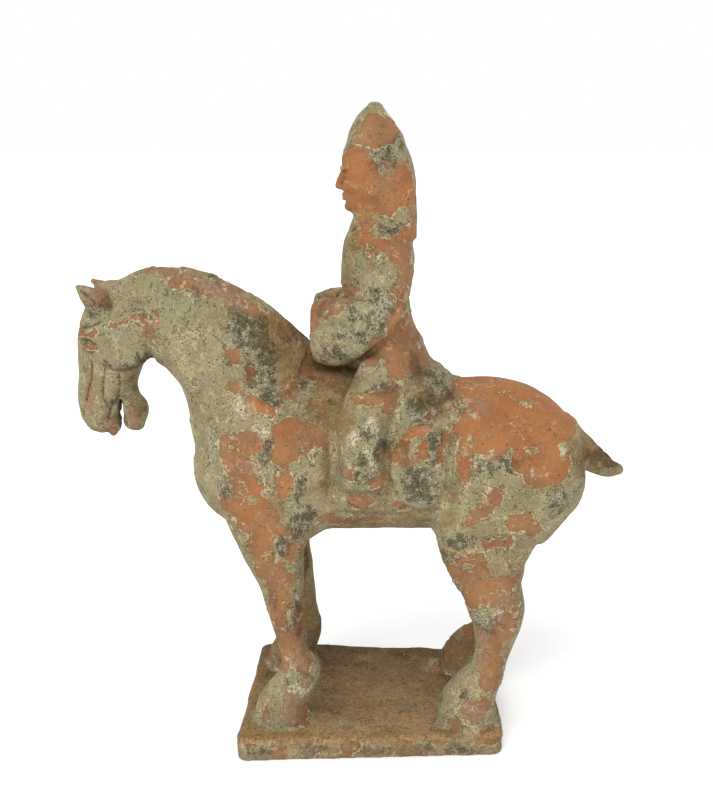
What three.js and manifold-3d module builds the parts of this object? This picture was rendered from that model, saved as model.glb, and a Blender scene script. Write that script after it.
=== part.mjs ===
// Moulded and fired clay horse with a seated rider on a rectangular slab, made as one piece.
// Millimetres, +Z up. The origin is the centre of the slab's flat underside.
// The horse faces -X, and its left flank faces -Y.
import * as THREE from 'three';
import { mergeVertices } from 'three/addons/utils/BufferGeometryUtils.js';
import Module from 'manifold-3d';

// ---------------------------------------------------------------- driving sizes
const TOTAL_HEIGHT = 360;        // slab underside to the tip of the hood
const SLAB_THICK = 13;           // at its edges
const SLAB_BEVEL = 2.2;          // worn rounding of its edges
const LEG_SPREAD = 33;           // centre line of a leg from the middle plane
const HOOF_SINK = 4;             // how far hooves and slab are luted into each other
const FLAP = { x: 25.2, z: 169.5, rx: 15.2, rz: 25.5, outer: 43.6, thick: 14, edge: 2.2 };   // saddle flap

// slab outline at mid height, corner by corner (it was cut by hand and isn't square)
const SLAB_CORNERS = [
  { x: -74.6, y: -60.2, r: 5 }, { x: 75.8, y: -48.6, r: 6 },
  { x: 73.6, y: 54.2, r: 10 }, { x: -74.2, y: 59, r: 12 },
];

// Stations along a limb: x, y, z of the section's centre, half thickness in the bend's plane,
// half width across it, how much narrower it gets towards the outer side of the bend, and the half
// thickness towards the inner side where that differs.
const TRUNK = [
  [110, 0, 163, 26.4, 27, 0.04, 29],
  [104, 0, 163, 32.4, 32, 0.06, 35],
  [97, 0, 163, 37.6, 36, 0.08, 40],
  [84, 0, 163, 43.6, 39.5, 0.1, 46],
  [64, 0, 163, 47.2, 40.5, 0.12, 43],
  [42, 0, 163, 45.6, 39.5, 0.12, 41.4],
  [18, 0, 163, 43, 38.5, 0.16, 41.4],
  [-8, 0, 163, 43.6, 38, 0.16, 41.6],
  [-32, 0, 163, 49.4, 37.5, 0.18, 42],
  [-56, 0, 163, 48, 36, 0.14, 42],
  [-77, 0, 163, 33, 33, 0.05, 36],
  [-88, 0, 163, 18, 24, 0, 26],
];
const NECK = [
  [-50, 0, 140, 36, 32, 0.1],
  [-56, 0, 158, 44, 33, 0.18],
  [-61.5, 0, 181, 42.5, 30, 0.26],
  [-67.8, 0, 203.6, 41.6, 26, 0.32],
  [-83.2, 0, 225.4, 34.6, 22.5, 0.34],
  [-101.8, 0, 239.4, 30.2, 20, 0.3],
  [-121, 0, 244.9, 27, 18, 0.22],
  [-136.5, 0, 242.4, 23, 16.5, 0.15],
];
const HEAD = [
  [-141.5, 0, 256.5, 10, 11, 0.1],
  [-144.5, 0, 249, 16, 14, 0.14],
  [-147, 0, 237, 19.4, 15.5, 0.24],
  [-149.6, 0, 222, 19.1, 14.5, 0.34],
  [-153.8, 0, 206, 15.4, 11.8, 0.26],
  [-156.8, 0, 194, 13.2, 10.4, 0.14],
  [-156.2, 0, 185, 11.6, 10.4, 0.05],
  [-153.4, 0, 180.4, 7.6, 8.4, 0],
];
const JAW = [
  [-138.6, 0, 222, 7, 9.5, 0],
  [-141, 0, 207, 5.6, 6.6, 0],
  [-139.9, 0, 197.5, 5.4, 6.4, 0],
  [-137.2, 0, 189.6, 7.4, 7, 0],
  [-138.2, 0, 181.2, 6.1, 6.2, 0],
];
const TAIL = [
  [106, 0, 178.5, 9.6, 9, 0],
  [118.4, 0, 168, 9.2, 8, 0],
  [128.4, 0, 160.9, 7.2, 6.4, 0],
  [136, 0, 156.4, 5, 4.8, 0],
  [141.8, 0, 155.8, 2.9, 3, 0],
];
// legs: the near ones, mirrored and shifted for the far ones
const FORELEG = [
  [-63, 15, 197, 15, 10, 0],
  [-63, 12, 180, 24, 14, 0],
  [-61, 9, 160, 26.5, 15, 0],
  [-59, 4.5, 139, 23.6, 14.4, 0, 25],
  [-56.2, 0.5, 120, 17.8, 13, 0, 19],
  [-51.4, 0, 98, 12.2, 10.6, 0, 13.4],
  [-49.4, 0, 79, 8.8, 9.4, 0, 9.6],
  [-46.5, 0, 63, 7.1, 8, 0, 7.5],
  [-43.8, 0, 52, 8.6, 8.6, 0],
  [-41.2, 0, 44, 11.8, 9.6, 0],
  [-43.6, 0, 36, 11.4, 10, 0],
  [-48.6, 0, 27, 13, 11.4, 0],
  [-51.6, 0, 18, 15.4, 12.8, 0],
  [-51.6, 0, 9, 16.6, 13.6, 0],
];
const HINDLEG = [
  [86, 17, 193, 12.6, 9.4, 0],
  [85, 13, 180, 25, 14, 0],
  [82, 10, 163, 33, 16.5, 0],
  [74, 6.5, 147, 35, 16, 0, 34.4],
  [65.4, 3, 131, 31.4, 15, 0, 29.2],
  [63.8, 0.5, 114, 23.8, 13.4, 0],
  [67, 0, 97, 17.2, 12, 0],
  [71.6, 0, 81, 15.6, 10.6, 0, 15],
  [71.3, 0, 66, 12, 9.2, 0, 10.9],
  [69, 0, 53, 9.6, 8.8, 0, 8.6],
  [65.6, 0, 43, 10.2, 9.8, 0],
  [60, 0, 34, 13, 11.2, 0],
  [56.2, 0, 25, 16, 12.6, 0],
  [55.6, 0, 16, 17, 13.4, 0],
  [55.8, 0, 9, 17, 13.4, 0],
];
// the far legs stand a little differently: how far each of their sections is shifted along X
const FAR_FORE = [2, 2, 1, 0, -1, -2, 1.6, 2, -0.6, -4, -1.5, -0.4, 0.3, 0.3];
const FAR_HIND = [2, 2, 3, 4, 5, 6, 7, 7.8, 9, 10.8, 12.6, 12.4, 8.6, 4.6, 3];

const TORSO = [
  [13, 0, 189, 26, 35, 0],
  [13, 0, 199.6, 25.6, 37, 0],
  [12.2, 0, 212, 22, 35, 0],
  [10.2, 0, 222, 19.8, 31.5, 0],
  [6.8, 0, 231, 18.8, 28, 0],
  [4, 0, 241, 18, 25.5, 0],
  [1.4, 0, 252, 18.8, 24, 0],
  [1.2, 0, 262, 19.4, 25, 0],
  [2.2, 0, 273, 20.2, 26.5, 0],
  [2, 0, 284, 19.2, 26.5, 0],
  [1.8, 0, 292, 17, 21, 0],
  [0.6, 0, 299, 13.2, 13, 0],
  [-0.6, 0, 304.5, 9.6, 9, 0],
];
const HOOD = [
  [0.3, 0, 357.4, 5.2, 5, 0],
  [-0.2, 0, 352, 9.8, 9.4, 0],
  [0, 0, 346.4, 13, 12.6, 0],
  [0.4, 0, 341, 15.6, 15, 0],
  [0.7, 0, 336.6, 16.4, 16.6, 0],
  [8, 0, 328, 13.2, 17.4, 0],
  [10, 0, 318, 12.8, 17, 0],
  [10.6, 0, 308, 12.5, 16.4, 0],
  [11.1, 0, 297, 12.6, 17.6, 0],
  [13.4, 0, 287, 10.4, 18.6, 0],
];
// the rider's face: thirds from the hood's brim to the chin, five eye widths across, its front just proud of the brim
const FACE_TOP = 335, FACE_THIRD = 10.5, FACE_HALF = 13.3, FACE_FRONT = -17.2;
const EYE = (2 * FACE_HALF) / 5;
const FACE = [
  [0, 0, FACE_TOP + 5, 11.2, FACE_HALF - 2.6, 0],
  [FACE_FRONT + 14, 0, FACE_TOP - 4, 14, FACE_HALF, 0],
  [FACE_FRONT + 13.8, 0, FACE_TOP - 1.25 * FACE_THIRD, 13.6, FACE_HALF, 0],
  [FACE_FRONT + 13.6, 0, FACE_TOP - 2 * FACE_THIRD, 13.2, 0.92 * FACE_HALF, 0],
  [FACE_FRONT + 13.2, 0, FACE_TOP - 2.55 * FACE_THIRD, 11.9, 0.74 * FACE_HALF, 0],
  [FACE_FRONT + 13.4, 0, FACE_TOP - 3 * FACE_THIRD, 9, 0.56 * FACE_HALF, 0],
];
const UPPER_ARM = [
  [2, -19, 288, 9, 7, 0],
  [6, -25.5, 279, 12, 8, 0],
  [7.5, -28, 268, 12.8, 8.6, 0],
  [6.5, -28.5, 256, 12.4, 8.8, 0],
];
const SLEEVE = [
  [11, -29, 253.2, 7.4, 7.6, 0],
  [4, -28.6, 249.4, 10.6, 8.4, 0],
  [-6, -26, 244.2, 14.6, 8.8, 0],
  [-15, -21, 240.4, 17.8, 8.8, 0],
  [-22.4, -15.5, 238.6, 18.6, 8.6, 0],
  [-29.2, -10.5, 238.2, 17.2, 8, 0],
];
const RIDER_LEG = [
  [6, -26, 218, 13, 10, 0],
  [2, -32, 210, 13.4, 11, 0],
  [-2.6, -37, 200, 13.2, 10.4, 0],
  [-5.6, -39.6, 190, 12.4, 9.8, 0],
  [-6.5, -40.4, 178, 11.4, 9.2, 0],
  [-4.8, -40.4, 167, 9.8, 8.6, 0],
  [-3, -40, 161, 8.4, 7.4, 0],
];

// ---------------------------------------------------------------- helpers
const wasm = await Module();
wasm.setup();
const { Manifold, Mesh: MMesh } = wasm;

// A solid skinned over smooth stations: a sphere's vertex grid is laid ring by ring along the curve,
// and its poles become the two rounded ends.
function loft(stations, { around = 16, rings = 12, caps = [0.5, 0.5], power = 2, fold = null } = {}) {
  const path = new THREE.CatmullRomCurve3(stations.map((s) => new THREE.Vector3(s[0], s[1], s[2])), false, 'catmullrom', 0.5);
  const size = new THREE.CatmullRomCurve3(stations.map((s) => new THREE.Vector3(s[3], s[4], s[5])), false, 'catmullrom', 0.5);
  const inner = new THREE.CatmullRomCurve3(stations.map((s) => new THREE.Vector3(s[6] ?? s[3], 0, 0)), false, 'catmullrom', 0.5);
  const full = (q) => Math.sign(q) * Math.abs(q) ** (2 / power);
  const capRings = 2;
  const rows = rings + 2 * capRings;
  const geo = new THREE.SphereGeometry(1, around, rows);
  const pos = geo.attributes.position;
  const across = new THREE.Vector3();
  const normal = new THREE.Vector3();
  for (let i = 0; i < pos.count; i++) {
    const row = Math.floor(i / (around + 1));
    const phi = (2 * Math.PI * (i % (around + 1))) / around;
    let t = THREE.MathUtils.clamp((row - capRings) / rings, 0, 1);
    let shrink = 1;
    let push = 0;
    if (row < capRings) { const q = (Math.PI / 2) * (1 - row / capRings); shrink = Math.cos(q); push = -caps[0] * Math.sin(q); }
    if (row > rows - capRings) { const q = (Math.PI / 2) * (1 - (rows - row) / capRings); shrink = Math.cos(q); push = caps[1] * Math.sin(q); }
    const c = path.getPoint(t);
    const s = size.getPoint(t);
    const T = path.getTangent(t);
    across.set(0, 1, 0).addScaledVector(T, -T.y).normalize();
    normal.crossVectors(across, T).normalize();
    const k = fold ? fold(t, phi) : 0;
    const thick = Math.cos(phi) > 0 ? s.x : inner.getPoint(t).x;
    const u = full(Math.cos(phi)) * (thick + k) * shrink;
    const v = full(Math.sin(phi)) * (s.y + k) * shrink * (1 - s.z * Math.cos(phi));
    c.addScaledVector(normal, u).addScaledVector(across, v).addScaledVector(T, push * Math.min(s.x, s.y));
    pos.setXYZ(i, c.x, c.y, c.z);
  }
  return geo;
}

// an egg-shaped lump of clay, turned about Y (pitch) and Z (yaw), both in degrees
function lump(x, y, z, rx, ry, rz, pitch = 0, yaw = 0, around = 12, rows = 8) {
  const geo = new THREE.SphereGeometry(1, around, rows);
  geo.scale(rx, ry, rz);
  geo.rotateY(THREE.MathUtils.degToRad(pitch));
  geo.rotateZ(THREE.MathUtils.degToRad(yaw));
  geo.translate(x, y, z);
  return geo;
}

// a round-edged oval pad lying against the horse's side, its outer face at |y| = outer
function pad({ x, z, rx, rz, outer, thick, edge }, side) {
  const e = edge / rx;
  const profile = [[0, -1], [1 - e, -1], [1, -1 + 2 * e], [1, 1 - 2 * e], [1 - 0.35 * e, 1 - 0.7 * e], [1 - e, 1], [0, 1]];
  const geo = new THREE.LatheGeometry(profile.map(([r, h]) => new THREE.Vector2(r, h)), 20);
  geo.scale(rx, thick / 2, rz);
  if (side < 0) geo.rotateX(Math.PI);
  geo.translate(x, side * (outer - thick / 2), z);
  return geo;
}

function solid(geometry) {
  const g = geometry.clone();
  g.deleteAttribute('normal');
  g.deleteAttribute('uv');
  const m = mergeVertices(g, 1e-4);
  const p = m.attributes.position.array;
  const idx = m.index.array;
  const tri = [];
  for (let i = 0; i < idx.length; i += 3) {
    const [a, b, c] = [idx[i], idx[i + 1], idx[i + 2]];
    if (a !== b && b !== c && a !== c) tri.push(a, b, c);
  }
  let vol = 0;
  const A = new THREE.Vector3(), B = new THREE.Vector3(), C = new THREE.Vector3();
  for (let i = 0; i < tri.length; i += 3) {
    A.fromArray(p, 3 * tri[i]); B.fromArray(p, 3 * tri[i + 1]); C.fromArray(p, 3 * tri[i + 2]);
    vol += A.dot(B.cross(C));
  }
  if (vol < 0) for (let i = 0; i < tri.length; i += 3) [tri[i + 1], tri[i + 2]] = [tri[i + 2], tri[i + 1]];
  return new Manifold(new MMesh({ numProp: 3, vertProperties: new Float32Array(p), triVerts: new Uint32Array(tri) }));
}

// the same stations on the other side of the middle plane
const mirrored = (stations) => stations.map(([x, y, ...rest]) => [x, -y, ...rest]);
const moved = (stations, dx, dy) => stations.map(([x, y, ...rest]) => [x + dx, y + dy, ...rest]);

// ---------------------------------------------------------------- slab
function slab() {
  const c = SLAB_CORNERS;
  const shape = new THREE.Shape();
  c.forEach((p, i) => {
    const a = c[(i + c.length - 1) % c.length];
    const b = c[(i + 1) % c.length];
    const here = new THREE.Vector2(p.x, p.y);
    const from = new THREE.Vector2(a.x, a.y).sub(here).normalize().multiplyScalar(p.r).add(here);
    const to = new THREE.Vector2(b.x, b.y).sub(here).normalize().multiplyScalar(p.r).add(here);
    if (i === 0) shape.moveTo(from.x, from.y); else shape.lineTo(from.x, from.y);
    shape.quadraticCurveTo(p.x, p.y, to.x, to.y);
  });
  shape.closePath();
  return new THREE.ExtrudeGeometry(shape, {
    depth: SLAB_THICK - 2 * SLAB_BEVEL, bevelEnabled: true, bevelThickness: SLAB_BEVEL,
    bevelSize: SLAB_BEVEL, bevelOffset: -SLAB_BEVEL, bevelSegments: 2, curveSegments: 4,
  }).translate(0, 0, SLAB_BEVEL);
}

// ---------------------------------------------------------------- horse
const foot = (stations) => {
  const out = stations.map((s) => [...s]);
  out[out.length - 1][2] = SLAB_THICK - HOOF_SINK;
  return out;
};
const near = -LEG_SPREAD;
const farLeg = (stations, dx) => moved(mirrored(stations), 0, LEG_SPREAD).map((s, i) => [s[0] + dx[i], ...s.slice(1)]);
const pair = (make) => [make(-1), make(1)];
const horse = [
  loft(TRUNK, { around: 20, rings: 16, caps: [0.35, 0.5] }),
  loft(NECK, { around: 16, rings: 15, caps: [0.2, 0.3] }),
  loft(HEAD, { around: 12, rings: 11, caps: [0.5, 0.35] }),
  loft(JAW, { around: 8, rings: 7, caps: [0.3, 0.7] }),
  loft(TAIL, { around: 8, rings: 6, caps: [0.3, 0.7] }),
  loft(foot(moved(FORELEG, 0, near)), { around: 10, rings: 14, caps: [0.3, 0.1] }),
  loft(foot(farLeg(FORELEG, FAR_FORE)), { around: 10, rings: 14, caps: [0.3, 0.1] }),
  loft(foot(moved(HINDLEG, 0, near)), { around: 10, rings: 15, caps: [0.3, 0.1] }),
  loft(foot(farLeg(HINDLEG, FAR_HIND)), { around: 10, rings: 15, caps: [0.3, 0.1] }),
  lump(-75.8, 0, 153.4, 27, 28.6, 31.4),                                     // breast
  ...pair((s) => lump(96.8, s * 18, 153.2, 21.2, 17, 23.4)),                   // buttocks
  lump(-150.4, 0, 180.8, 4.2, 6.0, 8.2, 4, 0, 10, 6),                      // overhanging upper lip
  lump(-149.5, 0, 256.5, 7, 8, 6.5, 0, 0, 10, 6),                          // poll between the ears
  ...pair((s) => lump(-138, s * 9.6, 228, 14.4, 8.8, 13.8, 0, 0, 12, 6)),  // round cheeks
  ...pair((s) => lump(-158.4, s * 10.2, 227.6, 4.5, 3.8, 2.9, -6, 0, 8, 6)),   // eyes
  ...pair((s) => lump(-158.5, s * 9.4, 235, 7.5, 4.4, 3.4, -8, 0, 8, 6)),  // brow bones
  ...pair((s) => lump(-163, s * 5.6, 188, 4.4, 4.4, 5.4, 0, 0, 8, 6)),     // nostrils
  loft([[-151, -8.4, 250, 8.5, 4.4, 0], [-156.2, -9.8, 255.4, 6.4, 3.8, 0], [-160.4, -10.6, 259.4, 3.8, 2.8, 0],
    [-162.6, -11, 261.5, 1.8, 1.5, 0]], { around: 8, rings: 5, caps: [0.3, 0.6] }),                     // ears
  loft([[-149.5, 8.4, 250.6, 8.5, 4.4, 0], [-154.6, 9.8, 256, 6.2, 3.8, 0], [-158.8, 10.6, 259.6, 3.8, 2.8, 0],
    [-161.2, 11, 261.6, 1.8, 1.5, 0]], { around: 8, rings: 5, caps: [0.3, 0.6] }),
];

// ---------------------------------------------------------------- saddle
const saddle = [
  ...pair((s) => pad(FLAP, s)),                                            // round-bottomed flaps
  ...pair((s) => lump(0, s * 22, 164, 22, 19.5, 23, 0, 0, 12, 6)),         // saddle cloth below the feet
  ...pair((s) => lump(20, s * 18, 192, 25, 21, 21, 0, 0, 10, 6)),          // seat
  lump(31.5, 0, 203.5, 15.5, 27, 13.5, 40, 0, 12, 6),                          // cantle, thick with soil
  lump(-12, 0, 198, 27, 28, 21, 12, 0, 12, 6),                             // pommel
];

// ---------------------------------------------------------------- rider
const pleat = (count, depth, from) => (t, phi) => (t > from ? depth * Math.cos(count * phi) * Math.min(1, (t - from) * 4) : 0);
const rider = [
  loft(TORSO, { around: 16, rings: 12, caps: [0.1, 0.4] }),
  loft(HOOD, { around: 14, rings: 12, caps: [0.5, 0.3], fold: pleat(7, 0.35, 0.6) }),
  loft(FACE, { around: 14, rings: 6, caps: [0.3, 0.4] }),
  loft([
    [FACE_FRONT + 0.8, 0, FACE_TOP - FACE_THIRD, 1.8, 1.7, 0],
    [FACE_FRONT - 1.1, 0, FACE_TOP - 1.5 * FACE_THIRD, 2.3, 2.1, 0],
    [FACE_FRONT - 1.8, 0, FACE_TOP - 1.84 * FACE_THIRD, 2.5, EYE / 2, 0],
  ], { around: 8, rings: 3, caps: [0.4, 0.5] }),                              // nose
  lump(FACE_FRONT + 4, 0, FACE_TOP - 2.84 * FACE_THIRD, 3.0, 4.2, 2.7, 0, 0, 8, 6),                 // chin
  lump(FACE_FRONT + 1.2, 0, FACE_TOP - 2.34 * FACE_THIRD, 2.1, 0.75 * EYE, 1.9, 0, 0, 8, 6),       // lips
  lump(-12, 0, 236, 18, 19, 21, 0, 0, 12, 8),                              // robe between the forearms
  ...[-1, 1].flatMap((side) => {
    const at = (list) => (side < 0 ? list : mirrored(list));
    return [
      loft(at(UPPER_ARM), { around: 8, rings: 4, caps: [0.6, 0.6] }),
      loft(at(SLEEVE), { around: 12, rings: 7, caps: [0.5, 0.2], power: 3.4, fold: pleat(6, 0.4, 0.2) }),
      loft(at(RIDER_LEG), { around: 10, rings: 7, caps: [0.4, 0.5], fold: pleat(5, 0.5, 0.3) }),
      lump(-3.5, side * 40.6, 160.4, 11.5, 5.8, 4.8, -6, 0, 10, 6),        // boot
    ];
  }),
];

// ---------------------------------------------------------------- one fired piece
let body = solid(slab());
for (const g of [...horse, ...saddle, ...rider]) body = body.add(solid(g));

// keep only what hangs together (no sealed hollow left inside)
const shells = body.decompose();
body = shells.reduce((best, s) => (s.volume() > best.volume() ? s : best), shells[0]);

const out = body.getMesh();
const geometry = new THREE.BufferGeometry();
geometry.setAttribute('position', new THREE.Float32BufferAttribute(out.vertProperties, out.numProp));
geometry.setIndex(Array.from(out.triVerts));
geometry.computeBoundingBox();
const tall = geometry.boundingBox.max.z;
if (Math.abs(tall - TOTAL_HEIGHT) > 3) throw new Error('height ' + tall);

const clay = new THREE.MeshStandardMaterial({ color: 0xa8886a, roughness: 0.92, metalness: 0 });
const figure = new THREE.Mesh(geometry, clay);
figure.name = 'horse_and_rider';

const part = new THREE.Group();
part.add(figure);
export default part;
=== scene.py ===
"""Fired clay horse and hooded rider on a slab: fine surface, painted-clay material, light and camera."""
import math

import bpy
import numpy as np
from mathutils import Matrix, Vector


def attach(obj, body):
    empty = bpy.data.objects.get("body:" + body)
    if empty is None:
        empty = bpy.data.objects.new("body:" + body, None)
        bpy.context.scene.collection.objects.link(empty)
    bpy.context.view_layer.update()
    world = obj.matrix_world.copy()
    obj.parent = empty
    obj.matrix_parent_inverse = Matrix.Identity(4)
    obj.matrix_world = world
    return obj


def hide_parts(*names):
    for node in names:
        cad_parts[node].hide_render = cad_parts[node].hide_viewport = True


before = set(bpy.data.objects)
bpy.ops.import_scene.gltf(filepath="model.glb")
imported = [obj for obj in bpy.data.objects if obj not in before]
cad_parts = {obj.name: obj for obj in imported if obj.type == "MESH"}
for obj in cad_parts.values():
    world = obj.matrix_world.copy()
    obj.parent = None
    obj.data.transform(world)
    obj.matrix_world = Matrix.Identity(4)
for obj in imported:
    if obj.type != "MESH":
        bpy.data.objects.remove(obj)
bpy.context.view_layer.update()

MM = 0.001
NODE = "horse_and_rider"
GRID = 1.0               # mm, spacing of the sampling grid
TRIANGLES = 190000       # budget of the finished surface

# ------------------------------------------------------------------ sizes (mm, as in the solid model)
SLAB_THICK = 13.0
LEG_SPREAD = 33.0
SLAB_CORNERS = [(-74.6, -60.2, 5), (75.8, -48.6, 6), (73.6, 54.2, 10), (-74.2, 59.0, 12)]

# stations: x, y, z, half thickness in the bend's plane, half width, narrowing towards the outer side,
# and, where it differs, the half thickness towards the inner side
TRUNK = [
    (110, 0, 163, 26.4, 27, 0.04, 29), (104, 0, 163, 32.4, 32, 0.06, 35), (97, 0, 163, 37.6, 36, 0.08, 40),
    (84, 0, 163, 43.6, 39.5, 0.10, 46), (64, 0, 163, 47.2, 40.5, 0.12, 43), (42, 0, 163, 45.6, 39.5, 0.12, 41.4),
    (18, 0, 163, 43, 38.5, 0.16, 41.4), (-8, 0, 163, 43.6, 38, 0.16, 41.6), (-32, 0, 163, 49.4, 37.5, 0.18, 42),
    (-56, 0, 163, 48, 36, 0.14, 42), (-77, 0, 163, 33, 33, 0.05, 36), (-88, 0, 163, 18, 24, 0.00, 26)]
NECK = [
    (-50, 0, 140, 36, 32, 0.10), (-56, 0, 158, 44, 33, 0.18), (-61.5, 0, 181, 42.5, 30, 0.26),
    (-67.8, 0, 203.6, 41.6, 26, 0.32), (-83.2, 0, 225.4, 34.6, 22.5, 0.34), (-101.8, 0, 239.4, 30.2, 20, 0.30),
    (-121, 0, 244.9, 27.0, 18, 0.22), (-136.5, 0, 242.4, 23, 16.5, 0.15)]
HEAD = [
    (-141.5, 0, 256.5, 10, 11, 0.10), (-144.5, 0, 249, 16, 14, 0.14), (-147, 0, 237, 19.4, 15.5, 0.24),
    (-149.6, 0, 222, 19.1, 14.5, 0.34), (-153.8, 0, 206, 15.4, 11.8, 0.26), (-156.8, 0, 194, 13.2, 10.4, 0.14),
    (-156.2, 0, 185, 11.6, 10.4, 0.05), (-153.4, 0, 180.4, 7.6, 8.4, 0.00)]
JAW = [
    (-138.6, 0, 222, 7.0, 9.5, 0), (-141.0, 0, 207, 5.6, 6.6, 0), (-139.9, 0, 197.5, 5.4, 6.4, 0),
    (-137.2, 0, 189.6, 7.4, 7.0, 0), (-138.2, 0, 181.2, 6.1, 6.2, 0)]
TAIL = [
    (106, 0, 178.5, 9.4, 9, 0), (118.4, 0, 168, 9.2, 8, 0), (128.4, 0, 160.9, 7.2, 6.4, 0),
    (136, 0, 156.4, 5, 4.8, 0), (141.8, 0, 155.8, 2.9, 3, 0)]
FORELEG = [
    (-63, 15, 197, 15, 10, 0), (-63, 12, 180, 24, 14, 0), (-61, 9, 160, 26.5, 15, 0),
    (-59, 4.5, 139, 23.8, 14.4, 0, 25.2), (-56.2, 0.5, 120, 17.8, 13, 0, 19), (-51.4, 0, 98, 12.2, 10.6, 0, 13.4),
    (-49.4, 0, 79, 8.8, 9.4, 0, 9.6), (-46.5, 0, 63, 7.1, 8.0, 0, 7.5), (-43.8, 0, 52, 8.6, 8.6, 0),
    (-41.2, 0, 44, 11.8, 9.6, 0), (-43.6, 0, 36, 11.4, 10, 0), (-48.6, 0, 27, 13, 11.4, 0),
    (-51.6, 0, 18, 15.4, 12.8, 0), (-51.6, 0, 9, 16.6, 13.6, 0)]
HINDLEG = [
    (86, 17, 192, 12, 9, 0), (85, 13, 180, 25, 14, 0), (82, 10, 163, 33, 16.5, 0),
    (74, 6.5, 147, 35, 16, 0, 34.4), (65.4, 3, 131, 31.6, 15, 0, 29.2), (63.8, 0.5, 114, 24, 13.4, 0),
    (67.0, 0, 97, 17.4, 12, 0), (71.6, 0, 81, 15.8, 10.6, 0, 15.2), (71.3, 0, 66, 12.2, 9.2, 0, 11.0),
    (69, 0, 53, 9.8, 8.8, 0, 8.6), (65.6, 0, 43, 10.2, 9.8, 0), (60, 0, 34, 13.0, 11.2, 0),
    (56.2, 0, 25, 16.0, 12.6, 0), (55.6, 0, 16, 17.0, 13.4, 0), (55.8, 0, 9, 17, 13.4, 0)]
FAR_FORE = [2, 2, 1, 0, -1, -2, 1.6, 2, -0.6, -4, -1.5, -0.4, 0.3, 0.3]
FAR_HIND = [2, 2, 3, 4, 5, 6, 7, 7.8, 9, 10.8, 12.6, 12.4, 8.6, 4.6, 3]
TORSO = [
    (13, 0, 188, 26, 33, 0), (13, 0, 199, 25.6, 36.4, 0), (12.2, 0, 212, 22, 35, 0), (10.2, 0, 222, 19.8, 31.5, 0),
    (6.8, 0, 231, 18.8, 28, 0), (4.0, 0, 241, 18.0, 25.5, 0), (1.4, 0, 252, 18.8, 24, 0), (1.2, 0, 262, 19.4, 25, 0),
    (2.2, 0, 273, 20.2, 26.5, 0), (2.0, 0, 284, 19.2, 26.5, 0), (1.8, 0, 292, 17.0, 21, 0),
    (0.6, 0, 299, 13.2, 13, 0), (-0.6, 0, 304.5, 9.6, 9, 0)]
HOOD = [
    (0.5, 0, 357.8, 4.2, 4.2, 0), (0.0, 0, 352, 9.4, 9.2, 0), (0.0, 0, 346.4, 13.0, 12.6, 0),
    (0.4, 0, 341, 15.2, 15.0, 0), (1.2, 0, 336.4, 16.0, 16.6, 0), (4.2, 0, 331, 14.8, 17.2, 0), (8.0, 0, 325, 13.4, 17.4, 0),
    (10.0, 0, 317, 12.8, 17.0, 0), (10.6, 0, 308, 12.5, 16.4, 0), (11.1, 0, 297, 12.6, 17.6, 0), (13.4, 0, 287, 10.4, 18.6, 0)]
# the rider's face: thirds from the hood's brim to the chin, five eye widths across, its front just proud of the brim
FACE_TOP, THIRD, FACE_HALF, FRONT = 335.0, 10.5, 13.3, -17.2
EYE = 2 * FACE_HALF / 5
EYE_Z = FACE_TOP - 1.25 * THIRD
FACE = [
    (0, 0, FACE_TOP + 5, 11.2, FACE_HALF - 2.6, 0), (FRONT + 14, 0, FACE_TOP - 4, 14, FACE_HALF, 0),
    (FRONT + 13.8, 0, EYE_Z, 13.6, FACE_HALF, 0), (FRONT + 13.6, 0, FACE_TOP - 2 * THIRD, 13.2, 0.92 * FACE_HALF, 0),
    (FRONT + 13.2, 0, FACE_TOP - 2.55 * THIRD, 11.9, 0.74 * FACE_HALF, 0),
    (FRONT + 13.4, 0, FACE_TOP - 3 * THIRD, 9, 0.56 * FACE_HALF, 0)]
UPPER_ARM = [
    (2, -19, 288, 9, 7, 0), (6, -25.5, 279, 12, 8, 0), (7.5, -28, 268, 12.8, 8.6, 0), (6.5, -28.5, 256, 12.4, 8.8, 0)]
SLEEVE = [
    (11, -29, 253.2, 7.4, 7.6, 0), (4, -28.6, 249.4, 10.6, 8.4, 0), (-6, -26, 244.2, 14.6, 8.8, 0),
    (-15, -21, 240.4, 17.8, 8.8, 0), (-22.4, -15.5, 238.6, 18.6, 8.6, 0), (-29.2, -10.5, 238.2, 17.2, 8, 0)]
RIDER_LEG = [
    (6, -26, 218, 13, 10, 0), (2, -32, 210, 13.4, 11, 0), (-2.6, -37, 200, 13.2, 10.4, 0),
    (-5.6, -39.6, 190, 12.4, 9.8, 0), (-6.5, -40.4, 178, 11.4, 9.2, 0), (-4.8, -40.4, 167, 9.8, 8.6, 0),
    (-3.0, -40, 161, 8.4, 7.4, 0)]
CORE_Y = 18.0


def mirrored(stations):
    return [(q[0], -q[1]) + tuple(q[2:]) for q in stations]


def shifted(stations, dx, dy):
    dx = [dx] * len(stations) if np.isscalar(dx) else dx
    return [(q[0] + d, q[1] + dy) + tuple(q[2:]) for q, d in zip(stations, dx)]


# ------------------------------------------------------------------ noise
def _lattice(i, j, k, seed):
    h = (i * 374761393 + j * 668265263 + k * 1442695041 + seed * 1274126177) & 0xFFFFFFFF
    h = ((h ^ (h >> 13)) * 1274126177) & 0xFFFFFFFF
    h = ((h ^ (h >> 15)) * 2246822519) & 0xFFFFFFFF
    return ((h ^ (h >> 16)) & 0xFFFF) / 32767.5 - 1.0


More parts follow.
